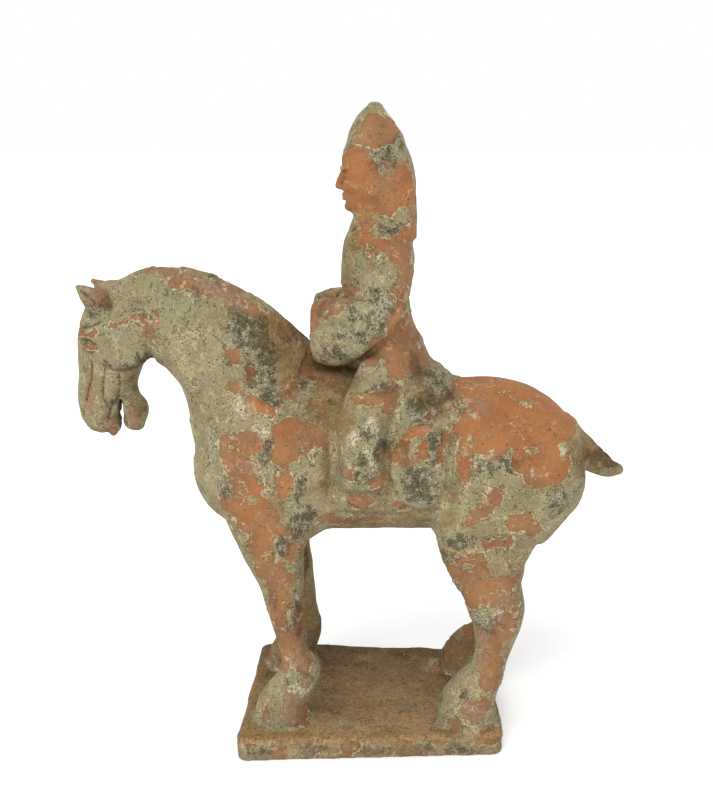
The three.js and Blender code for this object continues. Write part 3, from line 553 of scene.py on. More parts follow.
# ------------------------------------------------------------------ paint: where the coats are left
# areas on the near flank (x, z, rx, rz, turn in mm and degrees): bare orange paint, spots of crust left on it, dark
# granular crust, brown soil, whitish slip, brighter orange, pinkish clay. All else carries the olive grey crust.
AREAS = {
    "orange": [
        (-60.5, 199.1, 8.2, 4.5, -20), (-46, 180.8, 7.1, 12.4, 0), (-32.8, 183.1, 8.7, 6.2, -30),
        (-27.2, 177.1, 5.5, 2.8, -15), (-66.6, 180.2, 6.5, 5, 0), (-78.1, 174.8, 4.9, 7.9, 5),
        (-76.9, 167.3, 6.6, 4.5, 0), (-67.6, 155.4, 9.8, 9, -30), (-72.4, 144.8, 12.1, 5.1, -20),
        (-63.2, 139.1, 10.9, 10.1, -10), (-58.8, 129.9, 7.7, 11.3, -8), (-47.5, 160.5, 3.8, 3.9, 0),
        (-49.1, 153.1, 5.5, 3.9, 0), (-46.4, 131, 4.9, 2.8, 0), (-41.7, 118.6, 3.3, 5.1, -35),
        (-46.3, 208.1, 3.3, 4.6, 20), (-76.5, 224.8, 4.9, 2.8, -20), (-75.4, 208.2, 4.4, 2.3, 10),
        (-65.2, 217.6, 2.2, 3.4, 0), (-114.5, 270.6, 8.8, 1.5, -3), (-106.4, 262.8, 6.6, 2.3, -5),
        (-95.3, 259.1, 4.4, 0.8, -30), (-76.5, 258.7, 8.3, 0.6, -35), (-61.9, 247.9, 7.2, 0.7, -38),
        (-46.5, 235.1, 6.7, 0.9, -42), (-34.2, 216.2, 5.6, 6.9, 0), (-23.9, 214.3, 7.8, 2.9, 0),
        (-32.3, 199.7, 2.8, 1.7, 5), (-24.9, 199.4, 3.3, 1.7, 5), (-158.4, 235.6, 5.5, 1, 0),
        (-158.2, 228.8, 2.9, 1.1, 0), (-144.3, 239.4, 4.9, 0.6, 18), (-133.7, 243.3, 5.5, 0.5, 8),
        (-123.7, 238.9, 0.8, 5.1, 25), (-119.5, 242.9, 0.5, 3.4, -25), (-151, 178, 3.4, 3.5, 0),
        (2.7, 344.4, 10, 8.1, 0), (-9.4, 319.6, 10.6, 16.5, 0), (3.4, 317.1, 13.8, 11, 0), (13, 314.6, 8.5, 14.2, 0),
        (9.9, 305.7, 9.6, 4.9, 0), (18.5, 294.5, 3.2, 8.8, 0), (-4.6, 298, 4.8, 1.7, 30),
        (3.8, 287.8, 14.2, 3.8, -12), (1.7, 283.4, 7.9, 3.2, -12), (14.3, 280.8, 5.8, 5.4, -30),
        (18.1, 271.4, 2.1, 5.4, 0), (13.4, 268.2, 1.6, 6.5, -20), (-25.6, 252.4, 7.4, 2.9, 20),
        (-14.8, 260.8, 9.8, 2.2, 12), (-32.3, 249, 2.7, 9, 0), (-20.6, 250.6, 1.6, 4.4, -50),
        (15.1, 257.2, 3.2, 7.6, 0), (14.2, 240.4, 6, 9.5, 20), (6.2, 229.5, 9.7, 5.6, 0), (3, 234.8, 3.2, 2.8, 0),
        (16, 222.8, 5.4, 6.7, 0), (23.1, 235.9, 5.5, 13.7, -22), (28.2, 224, 3.9, 4.6, -30),
        (33, 204.5, 2.7, 1.7, 20), (40.3, 197.2, 2.7, 1.7, 0), (28.5, 198.5, 2.7, 1.1, 20),
        (0.2, 207.5, 10.6, 2.7, 5), (12.3, 208.2, 2.1, 6.1, -20), (8.7, 202.5, 2.1, 2.7, 0),
        (-11.3, 189.6, 2.6, 1.6, 0), (3.6, 163.2, 4.3, 2.8, 0), (-10.3, 167.8, 2.7, 3.3, 30),
        (-5.8, 147.2, 8.2, 4.5, 0), (-9.9, 133.9, 15.7, 2.3, 0), (16.7, 145.7, 3.8, 2.3, 0),
        (24.7, 191.5, 6.9, 2.7, 8), (18.9, 184.9, 3.2, 4.4, -30), (14.8, 177, 4.8, 3.3, 45),
        (21.2, 174.8, 2.1, 5, 0), (28.1, 177.1, 2.1, 6.6, 8), (38.3, 178.2, 1.9, 7.2, -5),
        (70.4, 203.5, 25.5, 10.3, -10), (91.4, 194.8, 23, 11.3, -35), (64, 187.6, 20.7, 11.2, 0),
        (91.1, 176.3, 18.5, 14.6, -25), (93.9, 164.7, 12, 6.7, 0), (51, 174.9, 4.3, 7.8, 0),
        (50, 164.8, 2.2, 6.2, 0), (65.8, 154.3, 3.8, 6.2, -35), (59, 144.3, 8.2, 2.8, 38),
        (80.3, 139.3, 7.1, 3.9, 20), (88.4, 134.3, 4.4, 2.8, -20), (68.6, 128.2, 7.7, 2.5, 10),
        (54.2, 119.3, 7.7, 3.4, 15), (48.1, 106.9, 5, 4.6, -20), (59.8, 111.5, 4.4, 4, 0),
        (59.1, 99.1, 8.9, 5.7, -30), (71.1, 100.9, 10.5, 6.8, 0), (74.2, 91, 8.9, 4.6, -10),
        (68.2, 60.6, 4, 10.5, 3), (67, 42.4, 5.7, 5.3, 0), (61, 29.4, 8, 2.3, -12), (-59, 118.2, 7.7, 13.6, 8),
        (-51.1, 102.1, 7.7, 11.4, 12), (-43.7, 91.9, 2.8, 4.6, 0), (-48.6, 64.4, 4.5, 8.1, 0),
        (-43.1, 58.8, 5.1, 5.3, 0), (-50.3, 49.1, 4, 4.1, 0), (-39.1, 18.5, 2.3, 4.8, 5), (-59, 20.6, 2, 2.7, 0),
        (-39.2, 50.3, 1.7, 3.5, 0), (48.3, 16.7, 3.4, 2.4, 0), (-39.1, 59.2, 2.5, 19.4, 0),
        (-53.3, 83.2, 6.2, 9.8, 0), (-40.9, 67.7, 3.1, 21.9, 0), (71.2, 69.5, 6.2, 7, 0), (68.4, 54.4, 5.1, 11.7, 3),
        (74.7, 79.7, 6.2, 4, 0), (56.1, 94.4, 6.1, 8.6, -25), (-68.7, 165.1, 7.1, 7.3, 0),
        (-59.9, 150.6, 5.5, 6.7, -20), (-2.9, 297.6, 3.8, 7.7, 0), (-0.4, 284.2, 6.3, 3.8, 0),
        (-12.4, 9.4, 3.4, 4.1, 0), (19.2, 10.5, 4.5, 2.3, 0), (65.7, 9.3, 8, 1.8, 0), (41.3, 9.9, 6.2, 1.2, 0),
        (-51.3, 4.8, 3.4, 1.7, 0), (-39.4, 11.3, 5.1, 1.2, 0),
    ],
    "crust": [
        (35.4, 210.4, 5.5, 6.2, 0), (32.4, 201.8, 4.3, 2.2, 0), (-3.9, 182.8, 10.6, 16.4, 5),
        (-59.9, 159.3, 1.6, 1.7, 0), (-52.8, 157.8, 2.2, 1.1, 0), (-41.6, 89.4, 2.2, 12.7, 0),
        (-57.9, 89.7, 1.7, 6.9, -10), (23.3, 178.2, 1.6, 5, 0), (-3.1, 140.5, 1.7, 1.1, 0),
        (-70.4, 195.3, 3.3, 2.8, 0), (-60.3, 194.6, 4.4, 1.7, 0), (40.4, 200.5, 3.3, 4.5, 0),
        (68.8, 117.5, 3.3, 2.3, 0), (79.8, 98, 2.8, 1.7, 0), (74.5, 58.4, 2.3, 5.3, 0), (-49.6, 73.2, 2.8, 2.3, 0),
        (-74.5, 176.9, 1.6, 1.7, 0), (-76.3, 180.4, 1.1, 2.8, 0), (-80, 154.2, 4.4, 4, 0),
        (-55.6, 175, 3.3, 6.2, 15), (-61, 165.2, 3.8, 3.4, 0), (-55.5, 151.8, 3.8, 3.9, 0),
        (-66.5, 168.9, 3.3, 2.2, 0), (-66.5, 148.4, 4.4, 1.4, 0), (-77.3, 135.3, 4.4, 1.7, -30),
        (-47.5, 123.1, 4.9, 4.5, 0), (-54.3, 106.4, 1.1, 3.4, 0), (-28.2, 159.9, 6.5, 16.9, 0),
        (62.4, 169.3, 9.8, 6.1, 8), (51.6, 182.4, 1.6, 1.7, 0), (85.1, 178.5, 2.7, 1.5, 0), (77, 202.4, 5, 0.5, -25),
        (70.6, 205.1, 1.7, 0.5, -25), (84.5, 198.7, 2.2, 0.5, -30), (88.4, 164.9, 1.6, 2.8, 20),
        (105.6, 177.8, 1.7, 3.4, 20), (13.1, 299, 4.8, 7.1, 0), (6.8, 293, 6.4, 4.4, 10), (0.1, 284.3, 1.3, 1, 0),
        (5, 326, 4.7, 2.2, 0), (3.2, 221.5, 5.9, 4.4, 0), (18.1, 228.5, 1.6, 1.7, 0), (-24.6, 250.5, 2.1, 2.2, 0),
        (18.9, 184.3, 1.1, 1.7, 0), (18.1, 168.1, 5.4, 3.9, 0), (43.6, 192.8, 2.7, 4.5, 0),
    ],
    "dark": [
        (35.4, 210.4, 6, 7.4, 0), (30.2, 203, 6.5, 4.5, 0), (39.3, 206, 3.3, 5.7, 0), (133.3, 161.6, 8.1, 4.8, -20),
        (69.3, 171.5, 13, 3.9, 0), (-29.3, 6.7, 11.3, 2.9, 0), (2.8, 5.2, 13.6, 2.9, 0), (31.1, 5.7, 6.8, 2.9, 0),
        (52.2, 3.2, 10.3, 2.4, 0), (-63, 6.3, 4.5, 2.3, 0), (28.5, 201.8, 10.8, 8.3, 0), (-25.4, 228, 4.9, 5.1, 0),
        (-40.4, 81.7, 3.4, 11.7, 0), (-73.5, 248.2, 7.7, 4.5, -38), (-66.6, 235.5, 7.7, 10.2, -30),
        (-60.9, 219.6, 7.1, 11.3, -25), (-55.3, 205.5, 5.5, 5.1, 0), (-40.4, 152.7, 2.7, 11.3, 0),
        (-38.1, 136.4, 6.1, 9.1, -25), (-80, 154.2, 5, 4.5, 0), (-59.9, 159.8, 2.2, 2.2, 0),
        (-52.2, 157.7, 2.7, 2.2, 0), (-47.5, 122, 4.9, 5.1, 0), (-56.7, 174.9, 3.8, 6.2, 10),
        (48.7, 127.5, 8.8, 4.5, 10), (44.7, 114.6, 3.9, 2.9, 0), (103.3, 148.8, 5, 8.5, -25),
        (-45.6, 75.1, 3.4, 2.9, 0), (-53.6, 90.9, 2.8, 8, 0), (-41.2, 82.9, 2.8, 15.1, 0),
        (6.2, 255.9, 4.2, 9.7, 40), (0.9, 247.3, 6.8, 4.9, -35), (-20.9, 228.7, 7.6, 5, -10),
        (-10.8, 248.9, 3.2, 2.7, 0), (-5.5, 238.7, 4.8, 3.3, -30), (-15.2, 239.7, 3.7, 2.2, 0),
        (7, 212.7, 8.5, 3.3, 0), (-4.4, 189.4, 4.8, 2.2, 25), (3.5, 181, 2.1, 4.9, 10), (-6, 177.3, 2.7, 4.9, -15),
        (-1.7, 167, 4.8, 2.2, 0), (-10.2, 181.8, 2.6, 1.6, 30), (6.6, 186.3, 1.6, 4.5, 0), (22.5, 219, 2.7, 5.6, 0),
        (31.4, 207.1, 3.8, 5.1, 0), (37.8, 213.1, 3.3, 2.9, 0), (25.8, 203.4, 3.2, 2.8, 0),
        (34.5, 178.3, 3.2, 8.3, 0), (31.2, 186.6, 4.8, 2.8, 0), (25.2, 158.5, 10.3, 10, 0),
        (-3, 335.2, 4.2, 1.6, -10), (10.7, 335.2, 4.2, 4.9, 0), (3.4, 331.6, 4.7, 1.6, -10),
        (-12.2, 339.2, 2.7, 6.6, -15), (2.3, 325.9, 3.7, 2.2, 0), (10, 292.7, 4.3, 2.2, 0),
        (0.1, 284.3, 3.1, 1.6, 0), (-152.8, 249.5, 6.6, 2.3, 25), (-140.6, 217.8, 3.9, 2.3, 10),
        (-129, 222.5, 5, 2.8, 30), (-127.9, 246.5, 7.6, 2.2, 0), (66.5, 77.6, 7.3, 5.2, 0),
        (-40.3, 46.3, 2.3, 2.3, 0), (-97.5, 259.1, 3.3, 2.8, 0), (-40.4, 208.1, 6.7, 4.6, 0),
    ],
    "soil": [
        (36.9, 203.5, 6, 4.5, 0), (-26.6, 168.6, 3.3, 5.6, 0), (-23.3, 165.5, 3.8, 10.1, 10),
        (29.6, 136.5, 13.3, 1.7, 0), (44.5, 149.7, 2.7, 7.9, 0), (-49.7, 236.4, 12.2, 14.9, -40),
        (-40.7, 220.2, 13.3, 10.3, 0), (-23.5, 209.1, 12.1, 8, 0), (-23.3, 196.1, 14.3, 9.1, 0),
        (-25.5, 155.3, 4.9, 7.9, 15), (27, 211.6, 6, 11.2, 10), (40.5, 202.3, 4.4, 4.6, 0),
        (-12.7, 215.4, 4.4, 5.1, 0), (124.7, 168, 17.2, 8.3, -35), (137.1, 158.9, 6.9, 5.4, 0),
        (-148.8, 253.9, 2.2, 4.5, 0), (-11.9, 275.7, 1.6, 8.8, 0), (-138.2, 202.9, 2.8, 7, 0),
        (-134, 193.6, 3.4, 5.3, 0), (7.7, 175.8, 1.6, 16.8, 0), (-36.3, 63.9, 2.5, 26, 0),
    ],
    "pale": [
        (37.2, 213.3, 4.4, 1.7, -25), (32.5, 206.2, 1.4, 2.2, 0), (-65.5, 17.3, 0.9, 4.2, -20),
        (-55.3, 19.9, 0.9, 4.1, 20), (64.7, 23.7, 6.9, 0.9, -10), (-40.4, 35.4, 5.1, 4.1, 0),
        (55.5, 12.6, 5.1, 1.2, 0), (-65.9, 197.2, 6, 3.9, -10), (-73.7, 201.8, 2.2, 5.1, 0),
        (-59.6, 187.5, 7.6, 2.8, -20), (-77, 242.6, 2.2, 1.7, 0), (-43.2, 232.7, 1.7, 1.7, 0),
        (-37.5, 42.5, 4.6, 6.5, 0), (51, 202.5, 1.3, 5.1, 8), (56.4, 207.2, 5, 1.2, 10), (55.8, 199.6, 0.9, 4, 0),
        (51, 176.5, 2.2, 3.9, 15), (88.4, 164.9, 1.6, 3.4, 20), (106.3, 176.4, 1.7, 3.4, 20),
        (55.6, 18.1, 5.1, 2.4, -20), (50.9, 27.8, 1.4, 4.7, -30), (66.4, 79.6, 7.8, 4, 0),
        (0.3, 194.6, 5.3, 4.9, 20), (-10.2, 188.3, 4.2, 3.3, 30), (-1.8, 181.6, 3.2, 4.9, 10),
        (2.5, 173.2, 4.3, 3.9, 0), (-10.2, 174, 2.7, 4.9, 0), (7.2, 258, 2.6, 4.9, 20), (-15.5, 255, 3.8, 1.7, 0),
        (-79, 134.6, 4.4, 2.3, -30), (-59, 10, 5.6, 2.3, 0), (-28.2, 4.8, 7.9, 2.3, 0), (-60.3, 26.1, 1.4, 4.7, -40),
        (-58.9, 15.4, 3.4, 1.4, 0), (71.5, 89.1, 5.6, 4, 0), (-69.8, 233.5, 1.6, 3.4, 0),
        (-18.4, 148.3, 6.6, 1.1, 20),
    ],
    "gold": [
        (-10.5, 320.6, 10.1, 15.4, 0), (-59.9, 127.1, 4.9, 12.4, -10), (-47.5, 154, 5.5, 5.6, 0),
        (73, 202.2, 28.8, 11.4, -15), (96.1, 191.8, 23.1, 15.9, -35), (64, 186.6, 21.8, 10.1, 0),
        (93.9, 174, 19.6, 11.2, -20), (16.2, 314.5, 4.3, 18.6, 0), (7.8, 306.7, 9.6, 5.5, 0),
        (17.5, 289.4, 3.2, 7.7, 0), (3.8, 287.8, 10.5, 3.2, -12), (-44.9, 180.9, 7.6, 10.1, 0),
        (-63.2, 146.2, 7.6, 14.6, -15), (-60.5, 199.1, 6.6, 3.4, -20), (25.9, 184.9, 7.5, 7.7, 0),
        (51, 174.9, 3.8, 7.8, 0),
    ],
    "pink": [
        (60.7, 199.8, 4.4, 5.7, 0), (-93.7, 263.5, 19.8, 3.4, -22), (-116.2, 269.7, 12.1, 2.3, 0),
        (-78.1, 254.4, 7.7, 4.5, -35), (-45, 23.3, 5.7, 10.6, 0), (58.8, 23.6, 8, 7.1, 0),
        (-152.9, 256.2, 6, 5.6, 20), (-157.7, 263, 4.4, 2.8, 0), (-155, 261.1, 5.6, 2.3, 0),
        (-151.3, 185, 5.1, 5.3, 0), (-137, 184.4, 5.1, 4.7, 0), (-160.7, 199.6, 3.9, 11.6, 0),
        (62.3, 60.1, 2.3, 14.1, 0), (-39.7, 50.9, 5.7, 7, 0), (-23.7, 7.2, 11.3, 2.9, 0), (28.3, 5.2, 17, 1.8, 0),
        (123.5, 166.5, 8, 5.3, -30), (-59, 21.1, 2.9, 4.1, 0), (1.3, 274.3, 4.2, 2.2, 0),
        (-66.5, 167.3, 6.5, 3.9, 0), (36.8, 202.3, 4.9, 2.8, 0), (35.7, 194.8, 4.9, 2.8, 0), (74.2, 91, 7.8, 4.6, 0),
    ],
}


def areas(kind, Q):
    """distance in mm to the union of the ellipses of one kind, negative inside"""
    d = np.full(len(Q), 14.0)
    for x, z, rx, rz, turn in AREAS[kind]:
        m = max(rx, rz) + 14
        k = np.flatnonzero((np.abs(Q[:, 0] - x) < m) & (np.abs(Q[:, 1] - z) < m))
        if not len(k):
            continue
        c, s = math.cos(math.radians(turn)), math.sin(math.radians(turn))
        u, v = Q[k, 0] - x, Q[k, 1] - z
        u, v = u * c + v * s, -u * s + v * c
        k0 = np.sqrt((u / rx) ** 2 + (v / rz) ** 2)
        k1 = np.sqrt((u / rx ** 2) ** 2 + (v / rz ** 2) ** 2)
        d[k] = smin(d[k], (k0 - 1) * np.where(k0 < 0.2, min(rx, rz), k0 / np.maximum(k1, 1e-9)), 1.5)
    return np.clip(d, -14, 14)


def coats(P, N):
    """amount of each coat at points P with normals N, with the painted shade carried in the soil coat and the grooves,
    and the painted light on the slab's earth
    """
    side = smoothstep(14, 4, P[:, 1])
    loose = (1 - np.abs(N[:, 1]))[:, None]

    def warp(size, amp, seed):
        return amp * np.stack([noise(P, size, seed), noise(P, size, seed + 1)], 1)
    ragged = warp(5.4, 2.2, 31) + warp(2.7, 1.0, 35)
    Q1 = P[:, [0, 2]] + warp(13, 1.8, 21) + ragged + loose * warp(24, 4.0, 41)
    Q2 = P[:, [0, 2]] + np.array([6.0, -3.0]) + warp(46, 17, 51) + warp(15, 6, 61) + ragged

    def dist(kind):
        return side * areas(kind, Q1) + (1 - side) * areas(kind, Q2)
    rough = fbm(P, 7, 3, 81)
    orange = np.minimum(0.8 - dist("orange"), dist("crust") + 0.2) + 0.8 * fbm(P, 5, 3, 71)
    dark = smoothstep(2.8, -2.4, dist("dark") + 2.4 * rough)
    dark = np.maximum(dark, 0.75 * smoothstep(0.62, 1.0, fbm(P, 11, 4, 95)))
    pale = smoothstep(1.4, -1.4, dist("pale") + 1.8 * fbm(P, 5, 3, 91))
    pale = np.maximum(pale, 0.6 * smoothstep(0.8, 1.15, fbm(P, 8, 3, 98)))
    pink = smoothstep(2.2, -2.2, dist("pink") + 1.5 * rough)
    soil = 0.85 * smoothstep(5.0, -4.0, dist("soil") + 3.0 * rough)
    gold = smoothstep(5.0, -5.0, dist("gold") + 4.0 * fbm(P, 12, 3, 131))
    # slab: soil on its top, crust and paint left on its edges
    low = P[:, 2] < 30
    on_slab = np.zeros(len(P))
    S, H = slab(P[low]), horse(P[low])
    on_slab[low] = smoothstep(1.2, 3.4, H) * smoothstep(1.5, 0.6, np.abs(S))
    top = on_slab * smoothstep(10.0, 12.0, P[:, 2] + 0.8 * rough)
    edge = on_slab - top
    scraps = 5.0 * fbm(P, 14, 4, 103)
    orange = np.where(on_slab > 0.5, np.where(top > 0.5, scraps - 5.2, np.maximum(orange, scraps - 2.6)), orange)
    dark = np.where(on_slab > 0.5, np.maximum(dark * 0.8, 0.75 * smoothstep(0.0, 0.8, fbm(P, 24, 4, 107) + 0.3 * top * (np.hypot(P[:, 0] + 38, P[:, 1]) < 30))), dark)
    earth = top * (1 - 0.3 * smoothstep(0.3, 0.9, fbm(P, 24, 4, 109)))
    # painted light on the slab's earth: lighter towards its near edge, darker at the back, a painted shadow behind the
    # forelegs and a painted pool of light at the middle of the near edge
    lit = (44 - P[:, 1] - 0.2 * P[:, 0]) / 104 + 0.16 * fbm(P, 16, 4, 133)
    lit = lit - 0.45 * np.exp(-((P[:, 0] + 18) / 20) ** 2 - ((P[:, 1] + 26) / 13) ** 2)
    lit = lit + 0.25 * np.exp(-((P[:, 0] - 16) / 28) ** 2 - ((P[:, 1] + 42) / 11) ** 2)
    lit = np.clip(lit, 0, 1.15)
    soil = np.maximum(soil * (1 - top), edge * 0.3)
    pink = np.maximum(pink, 0.6 * edge * smoothstep(-0.1, 0.5, fbm(P, 16, 3, 137)))
    # painted shade kept in the soil coat: faces turned down and the far legs browner where shade falls, the far legs'
    # brown partly soil as well; everything below the belly slightly browner
    under = smoothstep(0.35, 0.9, -N[:, 2]) * smoothstep(16, 24, P[:, 2])
    soil = np.maximum(soil, 0.6 * under)
    far_low = smoothstep(8, 18, P[:, 1]) * smoothstep(12, 16, P[:, 2])
    soil = np.maximum(soil, far_low * (0.34 * smoothstep(126, 112, P[:, 2]) + 0.4 * smoothstep(78, 55, P[:, 2])))
    soil = np.maximum(soil, 0.15 * smoothstep(150, 122, P[:, 2]) * (1 - on_slab))
    # painted shade along the incised grooves: how deep in a groove each point lies
    groove = np.zeros(len(P))
    for s in STROKES:
        k = np.flatnonzero(((P > s.lo) & (P < s.hi)).all(1))
        if len(k) and s.depth > 0:
            groove[k] = np.maximum(groove[k], s(P[k]) / max(s.depth, 1.0) / (1 + 0.9 * max(s.radius - 1.4, 0)))
    return {"coat_orange": orange, "coat_dark": dark, "coat_pale": pale, "coat_pink": pink, "coat_soil_and_shade": soil,
            "coat_gold": gold, "coat_earth": earth, "earth_lit": lit, "groove": groove}


def relief(P, N):
    """unevenness of the fired surface and thickness of what lies on it, in mm"""
    c = coats(P, N)
    crust = smoothstep(0.5, -0.7, c["coat_orange"])
    hand = 0.35 * noise(P, 15, 111) + 0.22 * noise(P, 7, 113)
    coarse = np.abs(noise(P, 5.2, 115)) * 0.9 + 0.55 * noise(P, 2.9, 117)
    grain = crust * (0.12 + c["coat_dark"]) * coarse * 0.55
    rubble = np.exp(-(((P[:, 0] - 34) / 13) ** 2 + ((P[:, 2] - 204) / 17) ** 2) ** 2)
    grain = grain + rubble * (1.6 * np.abs(noise(P, 6.0, 121)) + 1.2 * noise(P, 3.2, 123))
    lip = 0.25 * np.exp(-((c["coat_orange"] + 0.6) / 0.8) ** 2)
    cloth = 1 - 0.55 * smoothstep(280, 296, P[:, 2])
    z = smoothstep(0, 8, P[:, 2])
    calm = 1 - 0.6 * smoothstep(14, 9, np.linalg.norm((P - (FRONT, 0, FACE_TOP - 1.6 * THIRD)) / (1, 1, 1.15), axis=1))
    return (hand + 0.5 * crust + grain + lip - 0.35) * (0.25 + 0.75 * z) * calm * cloth


def mesh_normals(v, q):
    n = np.cross(v[q[:, 2]] - v[q[:, 0]], v[q[:, 3]] - v[q[:, 1]])
    out = np.stack([sum(np.bincount(q[:, k], n[:, a], len(v)) for k in range(4)) for a in range(3)], 1)
    return out / np.maximum(np.linalg.norm(out, axis=1), 1e-9)[:, None]


lo = np.array([-174.0, -64.0, -4.0])
hi = np.array([149.0, 64.0, 365.0])
verts, quads = surface(lo, hi, GRID)
normals = mesh_normals(verts, quads)
verts = verts + normals * relief(verts, normals)[:, None]
verts[:, 2] = np.maximum(verts[:, 2], 0.0)
print("surface", len(verts), "points", len(quads), "quads")


def make_mesh(name, v, q):
    me = bpy.data.meshes.new(name)
    me.vertices.add(len(v))
    me.vertices.foreach_set("co", (np.asarray(v) * MM).astype(np.float32).ravel())
    k = q.shape[1]
    me.loops.add(q.size)
    me.loops.foreach_set("vertex_index", q.astype(np.int32).ravel())
    me.polygons.add(len(q))
    me.polygons.foreach_set("loop_start", np.arange(0, q.size, k, dtype=np.int32))
    me.polygons.foreach_set("loop_total", np.full(len(q), k, dtype=np.int32))
    me.update(calc_edges=True)
    me.validate()
    return me


me = make_mesh("horse_and_rider_clay", verts, quads)
piece = bpy.data.objects.new("painted_clay_horse_and_rider", me)
bpy.context.scene.collection.objects.link(piece)
dec = piece.modifiers.new("thin", "DECIMATE")
dec.ratio = min(1.0, TRIANGLES / (2.0 * len(quads)))
dg = bpy.context.evaluated_depsgraph_get()
thin = bpy.data.meshes.new_from_object(piece.evaluated_get(dg), depsgraph=dg)
piece.modifiers.clear()
piece.data = thin
for p in thin.polygons:
    p.use_smooth = True
thin.name = "horse_and_rider_clay"
print("finished surface", len(thin.vertices), "points", sum(len(p.vertices) - 2 for p in thin.polygons), "triangles")

# what the material needs to know about each point
P = np.empty(len(thin.vertices) * 3)
thin.vertices.foreach_get("co", P)
P = P.reshape(-1, 3) / MM
N = np.empty(len(P) * 3)
thin.vertex_normals.foreach_get("vector", N)
N = N.reshape(-1, 3)
values = coats(P, N)
# how closed in each point is, used below to paint shade into hollows, under things and between parts
values["hollow"] = sum(w * np.clip(1 - field(P + N * d) / d, 0, 1.2) for d, w in ((2.5, 0.35), (6.0, 0.35), (13.0, 0.3)))
for name, value in values.items():
    thin.attributes.new(name, "FLOAT", "POINT").data.foreach_set("value", np.ascontiguousarray(value, np.float32))


# ------------------------------------------------------------------ painted clay
LIGHT = (0.765, 0.775, 0.72)


def linear(r, g, b):
    """colour as seen under the studio light, given in sRGB, as the paint's own colour"""
    return tuple(k * ((c / 255 + 0.055) / 1.055) ** 2.4 for c, k in zip((r, g, b), LIGHT)) + (1.0,)


class Shader:
    """small helpers that add nodes to one material"""
    def __init__(self, material):
        self.t = material.node_tree
        self.x = 0
        self.at = self.t.nodes.new("ShaderNodeTexCoord").outputs["Object"]

    def put(self, socket, value):
        if isinstance(value, bpy.types.NodeSocket):
            self.t.links.new(value, socket)
        else:
            socket.default_value = value

    def attribute(self, name):
        n = self.t.nodes.new("ShaderNodeAttribute")
        n.attribute_name = name
        return n.outputs["Fac"]

    def noise(self, size, detail=2.0, rough=0.5, distort=0.0):
        n = self.t.nodes.new("ShaderNodeTexNoise")
        self.put(n.inputs["Vector"], self.at)
        n.inputs["Scale"].default_value = 1000.0 / size
        n.inputs["Detail"].default_value = detail
        n.inputs["Roughness"].default_value = rough
        n.inputs["Distortion"].default_value = distort
        return n.outputs["Fac"]

    def cells(self, size, jitter=1.0):
        """distance to the nearest speck centre (in cells) and a random number for that speck"""
        n = self.t.nodes.new("ShaderNodeTexVoronoi")
        self.put(n.inputs["Vector"], self.at)
        n.inputs["Scale"].default_value = 1000.0 / size
        n.inputs["Randomness"].default_value = jitter
        sep = self.t.nodes.new("ShaderNodeSeparateColor")
        self.t.links.new(n.outputs["Color"], sep.inputs["Color"])
        return n.outputs["Distance"], sep.outputs["Red"]

    def math(self, op, a, b=0.0, clamp=False):
        n = self.t.nodes.new("ShaderNodeMath")
        n.operation, n.use_clamp = op, clamp
        self.put(n.inputs[0], a)
        self.put(n.inputs[1], b)
        return n.outputs[0]

    def ramp(self, v, a, b, lo=0.0, hi=1.0):
        """lo below a, hi above b, smooth between (a may be larger than b)"""
        n = self.t.nodes.new("ShaderNodeMapRange")
        n.interpolation_type = "SMOOTHSTEP"
        self.put(n.inputs["Value"], v)
        if a > b:
            a, b, lo, hi = b, a, hi, lo
        n.inputs["From Min"].default_value, n.inputs["From Max"].default_value = a, b
        n.inputs["To Min"].default_value, n.inputs["To Max"].default_value = lo, hi
        return n.outputs["Result"]

    def mix(self, f, a, b):
        n = self.t.nodes.new("ShaderNodeMix")
        n.data_type = "RGBA"
        self.put(n.inputs[0], f)
        self.put(n.inputs[6], a)
        self.put(n.inputs[7], b)
        return n.outputs[2]

    def lines(self, size, width, detail=2.0, distort=0.0):
        """1 on thin curling lines"""
        n = self.math("ABSOLUTE", self.math("SUBTRACT", self.noise(size, detail, 0.5, distort), 0.5))
        return self.ramp(n, width, width * 0.45)

    def mul(self, *v):
        out = v[0]
        for w in v[1:]:
            out = self.math("MULTIPLY", out, w)
        return out

    def add(self, *v):
        out = v[0]
        for w in v[1:]:
            out = self.math("ADD", out, w)
        return out

    def most(self, a, b):
        return self.math("MAXIMUM", a, b)

    def specks(self, size, share, radius):
        """1 in small round spots; share of the cells that carry one"""
        d, r = self.cells(size)
        return self.mul(self.ramp(d, radius, radius * 0.55), self.ramp(r, share, share - 0.04))


mat = bpy.data.materials.new("painted_clay")
mat.use_nodes = True
g = Shader(mat)
bsdf = mat.node_tree.nodes["Principled BSDF"]
a_orange, a_dark, a_pale = g.attribute("coat_orange"), g.attribute("coat_dark"), g.attribute("coat_pale")
a_pink, a_soil_and_shade, a_hollow = g.attribute("coat_pink"), g.attribute("coat_soil_and_shade"), g.attribute("hollow")
a_groove_shade, a_gold = g.attribute("groove"), g.attribute("coat_gold")
a_earth, a_lit = g.attribute("coat_earth"), g.attribute("earth_lit")

broad, mid, small = g.noise(17, 3, 0.55), g.noise(5.5, 3, 0.6), g.noise(1.9, 3, 0.65)
fine, grit = g.noise(0.8, 2, 0.6), g.noise(1.25, 4, 0.75, 0.6)
# edge of the flaked crust, in mm: ragged at three scales
edge = g.add(a_orange, g.mul(g.math("SUBTRACT", mid, 0.5), 3.4), g.mul(g.math("SUBTRACT", small, 0.5), 3.8),
             g.mul(g.math("SUBTRACT", fine, 0.5), 2.0))
